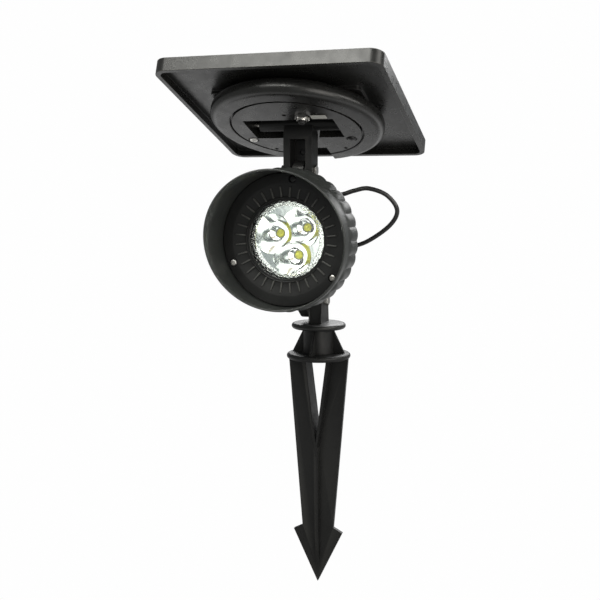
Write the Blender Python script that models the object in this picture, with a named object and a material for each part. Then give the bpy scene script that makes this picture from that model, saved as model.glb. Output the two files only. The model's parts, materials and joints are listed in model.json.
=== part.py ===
"""Solar garden light: ground spike, swivelling post, tilting spotlight head, folding arm and solar panel.

Frame: origin at the centre of the flat underside of the spike's lower disc, +Z up, lamp facing -Y.
All sizes are in metres.
"""
import math

import bmesh
import bpy
from mathutils import Matrix, Vector

# Ground spike
DISC_RADIUS = 0.0248
DISC_HEIGHT = 0.0046
SOCKET_RADIUS = 0.0117
SOCKET_TOP = 0.0232
SOCKET_BORE = 0.0078
SOCKET_FLOOR = 0.0060
BLADE_TOP = 0.0240
BLADE_STEM = 0.0127
BLADE_THICK = 0.0030
STEM_END = -0.1352
BARB_HALF = 0.0200
BARB_Z = -0.1390
TIP_Z = -0.1805
GAP_HALF = 0.0080
GAP_APEX = -0.0660
GAP_STRAIGHT = -0.0030
RIB_DEPTH = 0.0080
RIB_THICK = 0.0030

# Post
FLANGE_RADIUS = 0.0210
FLANGE_BOTTOM = 0.0235
FLANGE_TOP = 0.0280
STUB_RADIUS = 0.0075
STUB_BOTTOM = 0.0064
POST_HALF_X = 0.0050
POST_HALF_Y = 0.0088

# Pivots, all parallel to X
LOWER_PIVOT = Vector((0.0, 0.0, 0.0454))
UPPER_PIVOT = Vector((0.0, -0.0445, 0.1440))
PANEL_HINGE = Vector((0.0, -0.0445, 0.1769))
PANEL_TILT = math.radians(19.4)
BOLT_RADIUS = 0.0020
BOLT_HOLE = 0.0024
HEX_RADIUS = 0.0039
HEX_HEIGHT = 0.0028
LOW_HEX_HEIGHT = 0.0014

# Lamp, measured from its optical centre on the lens front, axis along Y
LAMP_CENTRE = Vector((0.0, -0.0750, 0.0956))
FLUTES = 32
HOUSING_RADIUS = 0.0452
FLUTE_HEIGHT = 0.0013
HOOD_RADIUS = 0.0485
HOOD_WALL = 0.0017
HOOD_LENGTH = 0.0280
HOOD_SLOPE = 0.21
HOOD_LONG_SIDE = math.radians(127.0)
GRIP_FRONT = -0.0115
BEZEL_RADIUS = 0.0463
BEZEL_SCREW_CIRCLE = 0.0424
BEZEL_SCREW_TURN = math.radians(83.0)
LENS_OPENING = 0.0268
LENS_RADIUS = 0.0292
CUP_OFFSET = 0.0116
CUP_RADIUS = 0.0126
LUG_RADIUS = 0.0135
LUG_INNER = -0.0053
LUG_OUTER = -0.0125
TONGUE_HALF = 0.0040
TONGUE_RADIUS = 0.0066

# Panel arm
FORK_HALF_X = 0.0107
FORK_HALF_Y = 0.0071
FORK_INNER = 0.0057
FORK_SLOT_TOP = 0.1493
FORK_POCKET_TOP = 0.1660
ARM_GLAND_RISE = 0.0130
BARREL_RADIUS = 0.0050
BARREL_HALF = 0.0300
PIN_RADIUS = 0.0015
PIN_HOLE = 0.0018

# Panel head, measured in the panel's own frame: x across, y back, h up from the tray's rim
PANEL_HALF = 0.0780
TRAY_HEIGHT = 0.0095
TRAY_CORNER = 0.0090
TRAY_WALL = 0.0035
PLATE_BOTTOM = 0.0050
PLATE_TOP = 0.0066
BASE_HALF_X = 0.0540
BASE_HALF_Y = 0.0360
BOX_FACE = -0.0105
BOX_TOP = 0.0020
RING_INNER = 0.0478
SEAT_INNER = 0.0430
SEAT_BOTTOM = -0.0080
SEAT_TOP = -0.0065
COVER_RADIUS = 0.0462
COVER_TOP = -0.0091
HINGE_Y = 0.0069
HINGE_H = -0.0030
RECESS_LEFT = -0.0345
RECESS_RIGHT = 0.0315
RECESS_NEAR = -0.0175
RECESS_FAR = 0.0140
RECESS_ROOF = 0.0028
POCKET_WALL = 0.0014
SLOT_HALF_X = 0.0126
COVER_SCREWS = {"left": (-0.0385, 0.0165), "right": (0.0358, 0.0175)}
SWITCH_X = 0.0115
SWITCH_Y = -0.0233
BLIND_HOLES = ((-0.0265, 0.0345), (0.0270, 0.0345), (-0.0010, -0.0258))

# Lamp cable
CABLE_DIAMETER = 0.0034

SMALL = 0.00001


def clear_scene():
    for old in list(bpy.data.objects):
        bpy.data.objects.remove(old, do_unlink=True)


def material(name, colour, roughness, metallic=0.0):
    mat = bpy.data.materials.new(name)
    mat.use_nodes = True
    shader = mat.node_tree.nodes["Principled BSDF"]
    shader.inputs["Base Color"].default_value = (*colour, 1.0)
    shader.inputs["Roughness"].default_value = roughness
    shader.inputs["Metallic"].default_value = metallic
    return mat


def axis_empty(name, location, parent=None, tilt=0.0):
    empty = bpy.data.objects.new(name, None)
    bpy.context.collection.objects.link(empty)
    empty.parent = parent
    empty.location = location
    empty.rotation_euler = (tilt, 0.0, 0.0)
    return empty


def make_object(name, bm, mat, parent=None, location=(0.0, 0.0, 0.0)):
    bmesh.ops.remove_doubles(bm, verts=bm.verts, dist=SMALL / 10)
    bmesh.ops.recalc_face_normals(bm, faces=bm.faces)
    mesh = bpy.data.meshes.new(name)
    bm.to_mesh(mesh)
    bm.free()
    mesh.shade_smooth()
    mesh.set_sharp_from_angle(angle=math.radians(32))
    obj = bpy.data.objects.new(name, mesh)
    bpy.context.collection.objects.link(obj)
    obj.data.materials.append(mat)
    obj.parent = parent
    obj.location = location
    return obj


def place(axis, u, v, w):
    """Point with w along the named axis and u, v on the other two, in order."""
    if axis == "X":
        return (w, u, v)
    if axis == "Y":
        return (u, w, v)
    return (u, v, w)


def prism(outline, low, high, axis="Z"):
    """Solid between two flat copies of an outline."""
    bm = bmesh.new()
    ends = []
    for w in (low, high):
        ends.append([bm.verts.new(place(axis, u, v, w)) for u, v in outline])
    bm.faces.new(ends[0])
    bm.faces.new(list(reversed(ends[1])))
    count = len(outline)
    for i in range(count):
        j = (i + 1) % count
        bm.faces.new((ends[0][i], ends[0][j], ends[1][j], ends[1][i]))
    return bm


def box(x_range, y_range, z_range):
    (x0, x1), (y0, y1) = x_range, y_range
    return prism([(x0, y0), (x1, y0), (x1, y1), (x0, y1)], z_range[0], z_range[1])


def circle_outline(radius, count, centre=(0.0, 0.0), turn=0.0):
    points = []
    for i in range(count):
        angle = turn + 2 * math.pi * i / count
        points.append((centre[0] + radius * math.cos(angle), centre[1] + radius * math.sin(angle)))
    return points


def cylinder(radius, low, high, axis="Z", count=32, centre=(0.0, 0.0), turn=0.0):
    return prism(circle_outline(radius, count, centre, turn), low, high, axis)


def rounded_outline(half_x, half_y, radius, steps=5, centre=(0.0, 0.0)):
    points = []
    for quarter in range(4):
        sx = 1 if quarter in (0, 3) else -1
        sy = 1 if quarter in (0, 1) else -1
        for i in range(steps + 1):
            angle = math.pi / 2 * (quarter + i / steps)
            x = sx * (half_x - radius) + radius * math.cos(angle)
            y = sy * (half_y - radius) + radius * math.sin(angle)
            points.append((centre[0] + x, centre[1] + y))
    return points


def hull_outline(points):
    """Convex outline around a set of points, counter-clockwise."""
    ordered = sorted(set((round(u, 7), round(v, 7)) for u, v in points))

    def half(sequence):
        chain = []
        for p in sequence:
            while len(chain) > 1:
                (ax, ay), (bx, by) = chain[-2], chain[-1]
                if (bx - ax) * (p[1] - ay) - (by - ay) * (p[0] - ax) > 0:
                    break
                chain.pop()
            chain.append(p)
        return chain[:-1]

    return half(ordered) + half(reversed(ordered))


def spun(section, angles, axis="Z"):
    """Solid of rings: section(angle) gives the closed (radius, height) outline at that angle."""
    bm = bmesh.new()
    centre = {}
    rings = []
    for angle in angles:
        loop = []
        for radius, height in section(angle):
            if radius == 0:
                if height not in centre:
                    centre[height] = bm.verts.new(place(axis, 0.0, 0.0, height))
                loop.append(centre[height])
                continue
            loop.append(bm.verts.new(place(axis, radius * math.cos(angle), radius * math.sin(angle), height)))
        rings.append(loop)
    count = len(rings[0])
    for i in range(len(rings)):
        a, b = rings[i], rings[(i + 1) % len(rings)]
        for k in range(count):
            m = (k + 1) % count
            corners = []
            for vert in (a[k], a[m], b[m], b[k]):
                if vert not in corners:
                    corners.append(vert)
            if len(corners) > 2:
                bm.faces.new(corners)
    return bm


def turned(profile, count, axis="Z"):
    """Turned solid from an open (radius, height) profile whose ends lie on the axis."""
    bm = bmesh.new()
    rings = []
    for radius, height in profile:
        if radius == 0:
            rings.append([bm.verts.new(place(axis, 0.0, 0.0, height))])
            continue
        ring = []
        for i in range(count):
            angle = 2 * math.pi * i / count
            ring.append(bm.verts.new(place(axis, radius * math.cos(angle), radius * math.sin(angle), height)))
        rings.append(ring)
    for low, high in zip(rings, rings[1:]):
        for i in range(count):
            j = (i + 1) % count
            if len(low) == 1:
                bm.faces.new((low[0], high[j], high[i]))
            elif len(high) == 1:
                bm.faces.new((low[i], low[j], high[0]))
            else:
                bm.faces.new((low[i], low[j], high[j], high[i]))
    return bm


def full_turn(count):
    return [2 * math.pi * i / count for i in range(count)]


def ring(inner, outer, low, high, count=48, axis="Z"):
    outline = [(outer, low), (outer, high), (inner, high), (inner, low)]
    return spun(lambda angle: outline, full_turn(count), axis)


def arc(centre, radius, start, end, steps):
    """Points on an arc, angles in degrees."""
    points = []
    for i in range(steps + 1):
        angle = math.radians(start + (end - start) * i / steps)
        points.append((centre[0] + radius * math.cos(angle), centre[1] + radius * math.sin(angle)))
    return points


def combine(obj, bm, operation):
    """Boolean one solid into an object and drop the tool."""
    tool = make_object("tool", bm, obj.data.materials[0], obj.parent, obj.location)
    modifier = obj.modifiers.new("boolean", "BOOLEAN")
    modifier.operation = operation
    modifier.solver = "EXACT"
    modifier.object = tool
    bpy.context.view_layer.update()
    depsgraph = bpy.context.evaluated_depsgraph_get()
    mesh = bpy.data.meshes.new_from_object(obj.evaluated_get(depsgraph))
    obj.modifiers.clear()
    old = obj.data
    obj.data = mesh
    mesh.name = obj.name
    tool_mesh = tool.data
    bpy.data.objects.remove(tool, do_unlink=True)
    bpy.data.meshes.remove(tool_mesh)
    bpy.data.meshes.remove(old)
    bm_clean = bmesh.new()
    bm_clean.from_mesh(mesh)
    bmesh.ops.remove_doubles(bm_clean, verts=bm_clean.verts, dist=SMALL / 10)
    bmesh.ops.dissolve_degenerate(bm_clean, dist=SMALL / 10, edges=bm_clean.edges)
    bm_clean.to_mesh(mesh)
    bm_clean.free()
    mesh.shade_smooth()
    mesh.set_sharp_from_angle(angle=math.radians(32))


def add(obj, bm):
    combine(obj, bm, "UNION")


def cut(obj, bm):
    combine(obj, bm, "DIFFERENCE")


def rounded_disc(radius, low, high, edge, steps=4):
    """Closed (radius, height) profile of a disc with a rounded rim, from the bottom centre up."""
    middle = (low + high) / 2
    half = (high - low) / 2
    points = [(0.0, low)]
    for i in range(steps + 1):
        angle = math.pi * (i / steps - 0.5)
        points.append((radius - edge + edge * math.cos(angle), middle + half * math.sin(angle)))
    points.append((0.0, high))
    return points


def hex_head(low, high, axis="X", radius=HEX_RADIUS):
    return cylinder(radius, low, high, axis, 6, turn=math.radians(30))


def build_spike(black):
    disc = rounded_disc(DISC_RADIUS, 0.0, DISC_HEIGHT, DISC_HEIGHT / 2)
    profile = disc[:-1]
    profile += [(SOCKET_RADIUS + 0.0006, DISC_HEIGHT), (SOCKET_RADIUS, SOCKET_TOP), (0.0, SOCKET_TOP)]
    spike = make_object("ground_spike", turned(profile, 40), black)
    gusset = [(0.0080, DISC_HEIGHT - 0.0008), (0.0208, DISC_HEIGHT - 0.0008), (0.0208, DISC_HEIGHT + 0.0006),
              (SOCKET_RADIUS + 0.0004, SOCKET_TOP - 0.0006), (0.0080, SOCKET_TOP - 0.0006)]
    half = BLADE_THICK / 2 - 0.0004
    for sign in (1, -1):
        side = [(sign * u, v) for u, v in gusset]
        add(spike, prism(side, -half, half, "Y"))
        add(spike, prism(side, -half, half, "X"))
    cut(spike, cylinder(SOCKET_BORE, SOCKET_FLOOR, SOCKET_TOP + 0.002, count=32))
    top = 0.0012
    blade = [(-BLADE_TOP, top), (-BLADE_STEM, STEM_END), (-BARB_HALF, BARB_Z), (0.0, TIP_Z),
             (BARB_HALF, BARB_Z), (BLADE_STEM, STEM_END), (BLADE_TOP, top), (GAP_HALF, top),
             (GAP_HALF, GAP_STRAIGHT), (0.0, GAP_APEX), (-GAP_HALF, GAP_STRAIGHT), (-GAP_HALF, top)]
    add(spike, prism(blade, -BLADE_THICK / 2, BLADE_THICK / 2, "Y"))
    rib = RIB_THICK / math.cos(math.atan(GAP_HALF / -GAP_APEX))
    for sign in (1, -1):
        outer = sign * (GAP_HALF + rib)
        leg = [(sign * GAP_HALF, top), (sign * GAP_HALF, GAP_STRAIGHT), (0.0, GAP_APEX),
               (0.0, GAP_APEX - 0.0120), (outer, GAP_STRAIGHT), (outer, top)]
        add(spike, prism(leg, -RIB_DEPTH, RIB_DEPTH, "Y"))
    keel = [(-RIB_DEPTH, GAP_APEX - 0.0040), (-RIB_DEPTH * 0.62, BARB_Z), (0.0, TIP_Z + 0.0035),
            (RIB_DEPTH * 0.62, BARB_Z), (RIB_DEPTH, GAP_APEX - 0.0040)]
    add(spike, prism(keel, -RIB_THICK / 2, RIB_THICK / 2, "X"))
    return spike


def build_post(black, axis):
    profile = [(0.0, STUB_BOTTOM), (STUB_RADIUS - 0.0006, STUB_BOTTOM), (STUB_RADIUS, STUB_BOTTOM + 0.0006),
               (STUB_RADIUS, FLANGE_BOTTOM)]
    profile += rounded_disc(FLANGE_RADIUS, FLANGE_BOTTOM, FLANGE_TOP, (FLANGE_TOP - FLANGE_BOTTOM) / 2)[1:]
    post = make_object("post", turned(profile, 40), black, axis)
    pivot_y, pivot_z = LOWER_PIVOT.y, LOWER_PIVOT.z
    top = arc((pivot_y, pivot_z), POST_HALF_Y, 0, 180, 14)
    foot = FLANGE_TOP - 0.0012
    outline = top + [(-POST_HALF_Y - 0.0002, FLANGE_TOP + 0.004), (-POST_HALF_Y - 0.0020, foot),
                     (POST_HALF_Y + 0.0020, foot), (POST_HALF_Y + 0.0002, FLANGE_TOP + 0.004)]
    upright = prism(outline, -POST_HALF_X, POST_HALF_X, "X")
    edges = [e for e in upright.edges if abs(e.verts[0].co.x - e.verts[1].co.x) < SMALL
             and min(e.verts[0].co.z, e.verts[1].co.z) > FLANGE_TOP]
    bmesh.ops.bevel(upright, geom=edges, offset=0.0012, segments=2, affect="EDGES", profile=0.5)
    add(post, upright)
    cut(post, cylinder(BOLT_HOLE, -0.02, 0.02, "X", 20, (pivot_y, pivot_z)))
    return post


def pivot_hardware(prefix, axis, head_x, head_height, washer_x, nut_x, steel):
    """Hex bolt with its head at +X, and a nut on the far side; all centred on the pivot."""
    bolt = make_object(prefix + "_bolt", hex_head(head_x, head_x + head_height), steel, axis)
    add(bolt, cylinder(BOLT_RADIUS, nut_x - 0.0045, head_x + 0.0005, "X", 20))
    nut = make_object(prefix + "_nut", hex_head(nut_x - 0.0030, nut_x), steel, axis)
    cut(nut, cylinder(BOLT_RADIUS + 0.0003, nut_x - 0.02, nut_x + 0.02, "X", 20))
    if washer_x is not None:
        washer = ring(BOLT_RADIUS + 0.0003, 0.0044, washer_x - 0.0006, washer_x, 24, "X")
        make_object(prefix + "_washer", washer, steel, axis)


def housing_section(angle):
    """Bowl outline at one angle: flutes on the outside, the reflector's cavity inside."""
    bump = FLUTE_HEIGHT * abs(math.sin(FLUTES / 2 * angle))
    outer = [(0.0063, HOUSING_RADIUS + bump * 0.8), (0.0125, HOUSING_RADIUS + bump),
             (0.0190, HOUSING_RADIUS - 0.0014 + bump), (0.0260, 0.0412 + bump),
             (0.0315, 0.0350 + bump * 0.8), (0.0360, 0.0270 + bump * 0.4), (0.0385, 0.0185)]
    points = [(radius, height) for height, radius in outer]
    points += [(0.0, 0.0420), (0.0, 0.0225), (0.0275, 0.0225), (0.0275, 0.0063)]
    return points


def build_housing(black, lamp_axis, offset):
    angles = full_turn(FLUTES * 4)
    housing = make_object("lamp_housing", spun(housing_section, angles, "Y"), black, lamp_axis, offset)
    pivot = LOWER_PIVOT - LAMP_CENTRE
    lug = circle_outline(LUG_RADIUS, 28, (pivot.y, pivot.z))
    lug += circle_outline(0.0110, 16, (0.0340, -0.0240))
    add(housing, prism(hull_outline(lug), LUG_OUTER, LUG_INNER, "X"))
    cut(housing, cylinder(BOLT_HOLE, -0.03, 0.03, "X", 20, (pivot.y, pivot.z)))
    upper = UPPER_PIVOT - LAMP_CENTRE
    tongue = circle_outline(TONGUE_RADIUS, 24, (upper.y, upper.z))
    tongue += [(upper.y - 0.0066, 0.0310), (upper.y + 0.0090, 0.0240), (upper.y - 0.0050, 0.0285)]
    add(housing, prism(hull_outline(tongue), -TONGUE_HALF, TONGUE_HALF, "X"))
    cut(housing, cylinder(BOLT_HOLE, -0.02, 0.02, "X", 20, (upper.y, upper.z)))
    cut(housing, cylinder(0.0028, 0.020, 0.046, "Y", 20))
    for x, z in bezel_screw_centres():
        cut(housing, cylinder(0.0016, 0.0040, 0.0150, "Y", 12, (x, z)))
    return housing


def bezel_screw_centres():
    centres = []
    for i in range(3):
        angle = BEZEL_SCREW_TURN + 2 * math.pi * i / 3
        centres.append((BEZEL_SCREW_CIRCLE * math.cos(angle), BEZEL_SCREW_CIRCLE * math.sin(angle)))
    return centres


def rim_reach(radius, angle):
    """How far the hood's oblique front reaches at a point of its wall."""
    return HOOD_LENGTH + HOOD_SLOPE * radius * math.cos(angle - HOOD_LONG_SIDE)


def hood_section(angle):
    """Hood wall at one angle: smooth in front, scalloped grip behind, flange inside at the back."""
    inner = HOOD_RADIUS - HOOD_WALL
    outer_reach = rim_reach(HOOD_RADIUS, angle)
    inner_reach = rim_reach(inner, angle)
    grip = HOOD_RADIUS + 0.0002 + FLUTE_HEIGHT * abs(math.sin(FLUTES / 2 * angle))
    return [(HOOD_RADIUS - 0.0004, 0.0060), (grip - 0.0003, 0.0052), (grip, GRIP_FRONT + 0.0030),
            (grip - 0.0002, GRIP_FRONT + 0.0010), (HOOD_RADIUS, GRIP_FRONT), (HOOD_RADIUS, -outer_reach),
            (inner + 0.0002, -inner_reach), (inner, 0.0048), (0.0395, 0.0048), (0.0395, 0.0060)]


def bezel_section_at(on_rib):
    rib_low = -0.0034 if on_rib else -0.0032
    rib_high = -0.0031 if on_rib else -0.0019

    def section(angle):
        return [(BEZEL_RADIUS, 0.0045), (BEZEL_RADIUS, -0.0035), (0.0385, -0.0035), (0.0367, rib_low),
                (0.0294, rib_high), (0.0290, -0.0018), (0.0279, -0.0018), (0.0277, -0.0010),
                (LENS_OPENING, -0.0010), (LENS_OPENING, -0.0003),
                (LENS_RADIUS + 0.0003, -0.0003), (LENS_RADIUS + 0.0003, 0.0045)]

    return section


def build_bezel(black, lamp_axis, offset):
    """Ribbed ring between lens and hood: thin radial ribs stand on its sloping floor."""
    angles = []
    sections = {}
    rib_half = 0.0008 / 0.033
    for i in range(FLUTES):
        centre = 2 * math.pi * (i + 0.5) / FLUTES
        for shift, on_rib in ((-rib_half, False), (0.0, True), (rib_half, False)):
            angles.append(centre + shift)
            sections[centre + shift] = bezel_section_at(on_rib)
    solid = spun(lambda angle: sections[angle](angle), angles, "Y")
    bezel = make_object("bezel", solid, black, lamp_axis, offset)
    for x, z in bezel_screw_centres():
        cut(bezel, cylinder(0.0017, -0.0060, 0.0080, "Y", 12, (x, z)))
        cut(bezel, cylinder(0.0028, -0.0060, -0.0014, "Y", 20, (x, z)))
    return bezel


def build_bezel_screws(steel, lamp_axis, offset):
    for number, (x, z) in enumerate(bezel_screw_centres(), start=1):
        profile = [(0.0, -0.0034), (0.0014, -0.0034), (0.0024, -0.0026), (0.0025, -0.0017),
                   (0.0013, -0.0017), (0.0013, 0.0135), (0.0, 0.0142)]
        screw = make_object("bezel_screw_%d" % number, turned(profile, 14, "Y"), steel, lamp_axis,
                            Vector(offset) + Vector((x, 0.0, z)))
        for turn in (0.0, math.pi / 2):
            slot = prism([(-0.0011, -0.00025), (0.0011, -0.00025), (0.0011, 0.00025), (-0.0011, 0.00025)],
                         -0.0050, -0.0026, "Y")
            bmesh.ops.rotate(slot, verts=slot.verts, cent=(0, 0, 0), matrix=rotation_y(turn + 0.4))
            cut(screw, slot)


def rotation_y(angle):
    return Matrix.Rotation(angle, 3, "Y")


def build_optics(mats, lamp_axis, offset):
    lens = [(0.0, -0.0001), (0.0150, 0.0), (LENS_RADIUS - 0.0004, 0.0002), (LENS_RADIUS, 0.0006),
            (LENS_RADIUS, 0.0026), (0.0, 0.0026)]
    make_object("lens", turned(lens, 40, "Y"), mats["clear"], lamp_axis, offset)
    gasket = ring(0.0264, 0.0290, 0.0029, 0.0038, 32, "Y")
    make_object("lens_gasket", gasket, mats["rubber"], lamp_axis, offset)
    body = [(0.0, 0.0041), (0.0290, 0.0041), (0.0290, 0.0056), (0.0258, 0.0056), (0.0245, 0.0190),
            (0.0, 0.0190)]
    reflector = make_object("reflector", turned(body, 40, "Y"), mats["chrome"], lamp_axis, offset)
    for i in range(3):
        angle = math.radians(35 + 120 * i)
        centre = (CUP_OFFSET * math.cos(angle), CUP_OFFSET * math.sin(angle))
        cup = [(0.0, 0.0260), (0.0037, 0.0260), (0.0037, 0.0186)]
        for step in range(1, 6):
            depth = step / 5
            cup.append((0.0037 + (CUP_RADIUS - 0.0037) * math.sqrt(depth), 0.0186 - 0.0147 * depth))
        cup += [(CUP_RADIUS, 0.0020), (0.0, 0.0020)]
        tool = turned(cup, 16, "Y")
        bmesh.ops.translate(tool, verts=tool.verts, vec=(centre[0], 0.0, centre[1]))
        cut(reflector, tool)
        led = prism(rounded_outline(0.0018, 0.0018, 0.0003, 1), 0.0193, 0.0202, "Y")
        make_object("led_%d" % (i + 1), led, mats["phosphor"], lamp_axis,
                    Vector(offset) + Vector((centre[0], -0.0003, centre[1])))
    make_object("led_board", cylinder(0.0250, 0.0202, 0.0216, "Y", 40), mats["board"], lamp_axis, offset)


def build_gland(name, mat, parent, location, length):
    """Round cable gland with a tapered nose, bored for the cable."""
    bore = CABLE_DIAMETER / 2 + 0.0003
    outline = [(bore, 0.0), (bore, length), (0.0030, length), (0.0034, length * 0.7),
               (0.0048, length * 0.55), (0.0052, 0.0010), (0.0052, 0.0)]
    gland = spun(lambda angle: outline, full_turn(18), "Y")
    return make_object(name, gland, mat, parent, location)


def build_arm(black, arm_axis):
    """Fork around the lamp's tongue at the bottom, wide hinge barrel at the top."""
    top = PANEL_HINGE.z - UPPER_PIVOT.z
    outline = arc((0.0, 0.0), FORK_HALF_Y, 180, 360, 14)
    outline += [(FORK_HALF_Y, top - 0.0070), (BARREL_RADIUS - 0.0004, top), (-BARREL_RADIUS + 0.0004, top),
                (-FORK_HALF_Y, top - 0.0070)]
    body = prism(outline, -FORK_HALF_X, FORK_HALF_X, "X")
    edges = [e for e in body.edges if abs(e.verts[0].co.x - e.verts[1].co.x) < SMALL]
    bmesh.ops.bevel(body, geom=edges, offset=0.0007, segments=1, affect="EDGES")
    arm = make_object("panel_arm", body, black, arm_axis)
    add(arm, cylinder(BARREL_RADIUS, -BARREL_HALF, BARREL_HALF, "X", 32, (0.0, top), math.radians(4)))
    slot_top = FORK_SLOT_TOP - UPPER_PIVOT.z
    pocket_top = FORK_POCKET_TOP - UPPER_PIVOT.z
    cut(arm, box((-FORK_INNER, FORK_INNER), (-0.02, 0.02), (-0.02, slot_top)))
    cut(arm, box((-FORK_INNER, FORK_INNER), (-0.02, 0.0046), (slot_top - 0.001, pocket_top)))
    cut(arm, cylinder(BOLT_HOLE, -0.02, 0.02, "X", 20, turn=0.1))
    cut(arm, cylinder(PIN_HOLE, -0.05, 0.05, "X", 16, (0.0, top), 0.05))
    cut(arm, cylinder(CABLE_DIAMETER / 2 + 0.0004, 0.0, 0.02, "Y", 16, (0.0, ARM_GLAND_RISE)))
    return arm


def build_tray(black, panel_axis, origin):
    tray_outline = rounded_outline(PANEL_HALF, PANEL_HALF, TRAY_CORNER, 6)
    body = prism(tray_outline, 0.0, TRAY_HEIGHT)
    edges = [e for e in body.edges if abs(e.verts[0].co.z - e.verts[1].co.z) < SMALL]
    bmesh.ops.bevel(body, geom=edges, offset=0.0011, segments=2, affect="EDGES", profile=0.5)
    tray = make_object("panel_tray", body, black, panel_axis, origin)
    inside = PANEL_HALF - TRAY_WALL
    cut(tray, prism(rounded_outline(inside, inside, TRAY_CORNER - TRAY_WALL, 5), -0.01, PLATE_BOTTOM))
    top = PANEL_HALF - 0.0030
    cut(tray, prism(rounded_outline(top, top, TRAY_CORNER - 0.0030, 5), PLATE_TOP, 0.02))
    wall = prism(rounded_outline(BASE_HALF_X, BASE_HALF_Y, 0.004, 3), BOX_TOP + 0.0003, PLATE_BOTTOM + 0.0005)
    base = make_object("base_tool", wall, black, panel_axis, origin)
    cut(base, prism(rounded_outline(BASE_HALF_X - 0.002, BASE_HALF_Y - 0.002, 0.002, 2), -0.01, 0.02))
    bm = bmesh.new()
    bm.from_mesh(base.data)
    base_mesh = base.data
    bpy.data.objects.remove(base, do_unlink=True)
    bpy.data.meshes.remove(base_mesh)
    add(tray, bm)
    return tray


def build_battery_box(black, panel_axis, origin):
    """Round box: thick ring face with a seat for the cover, hollow above, notched at the back for the arm."""
    cavity = 0.0580
    cavity_roof = BOX_TOP - 0.0016
    profile = [(RING_INNER, BOX_FACE), (0.0560, BOX_FACE)]
    profile += arc((0.0565, BOX_FACE + 0.0055), 0.0055, -80, 0, 4)
    profile += arc((0.0570, BOX_TOP - 0.0050), 0.0050, 0, 90, 3)
    profile += [(0.0, BOX_TOP), (0.0, cavity_roof), (cavity, cavity_roof), (cavity, SEAT_TOP),
                (SEAT_INNER, SEAT_TOP), (SEAT_INNER, SEAT_BOTTOM), (RING_INNER, SEAT_BOTTOM)]
    solid = spun(lambda angle: profile, full_turn(56))
    box_object = make_object("battery_box", solid, black, panel_axis, origin)
    room = POCKET_WALL + 0.0005
    cut(box_object, box((RECESS_LEFT - room, RECESS_RIGHT + room), (RECESS_NEAR - room, RECESS_FAR + room),
                        (cavity_roof - 0.002, BOX_TOP + 0.002)))
    for centre in COVER_SCREWS.values():
        add(box_object, cylinder(0.0024, SEAT_BOTTOM, BOX_TOP - 0.0010, count=16, centre=centre))
    for sign in (1, -1):
        side = sorted((sign * SLOT_HALF_X, sign * (SLOT_HALF_X + 0.0016)))
        add(box_object, box(side, (0.0433, 0.0590), (SEAT_BOTTOM - 0.0002, BOX_TOP - 0.0010)))
    cut(box_object, box((-SLOT_HALF_X, SLOT_HALF_X), (0.030, 0.08), (-0.02, cavity_roof)))
    for centre in COVER_SCREWS.values():
        cut(box_object, cylinder(0.0013, -0.02, -0.0022, count=12, centre=centre))
    return box_object


def build_cover(black, panel_axis, origin):
    """Disc with the hinge recess: a wide pocket for the barrel that narrows to the arm's slot."""
    cover = make_object("battery_cover", cylinder(COVER_RADIUS, BOX_FACE, COVER_TOP, count=56), black,
                        panel_axis, origin)
    roof = RECESS_ROOF + POCKET_WALL
    low = COVER_TOP - 0.0006
    add(cover, box((RECESS_LEFT - POCKET_WALL, RECESS_RIGHT + POCKET_WALL),
                   (RECESS_NEAR - POCKET_WALL, RECESS_FAR + POCKET_WALL), (low, roof)))
    channel = SLOT_HALF_X + POCKET_WALL
    roof_low = BOX_TOP - 0.0016 - 0.0003
    add(cover, box((-channel, channel), (RECESS_FAR, 0.0400), (low, roof_low)))
    cut(cover, box((RECESS_LEFT, RECESS_RIGHT), (RECESS_NEAR, RECESS_FAR), (-0.02, RECESS_ROOF)))
    cut(cover, box((-SLOT_HALF_X, SLOT_HALF_X), (RECESS_FAR - 0.001, 0.06), (-0.02, roof_low - POCKET_WALL)))
    cut(cover, cylinder(PIN_HOLE, RECESS_LEFT - 0.0009, RECESS_RIGHT + 0.0009, "X", 16, (HINGE_Y, HINGE_H)))
    for centre in COVER_SCREWS.values():
        cut(cover, cylinder(0.0017, -0.02, COVER_TOP + 0.001, count=12, centre=centre))
        cut(cover, cylinder(0.0036, -0.02, BOX_FACE + 0.0005, count=24, centre=centre))
    for centre in BLIND_HOLES:
        cut(cover, cylinder(0.0013, -0.02, BOX_FACE + 0.0008, count=12, centre=centre))
    cut(cover, cylinder(0.0037, -0.02, COVER_TOP + 0.001, count=20, centre=(SWITCH_X, SWITCH_Y)))
    return cover


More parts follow.
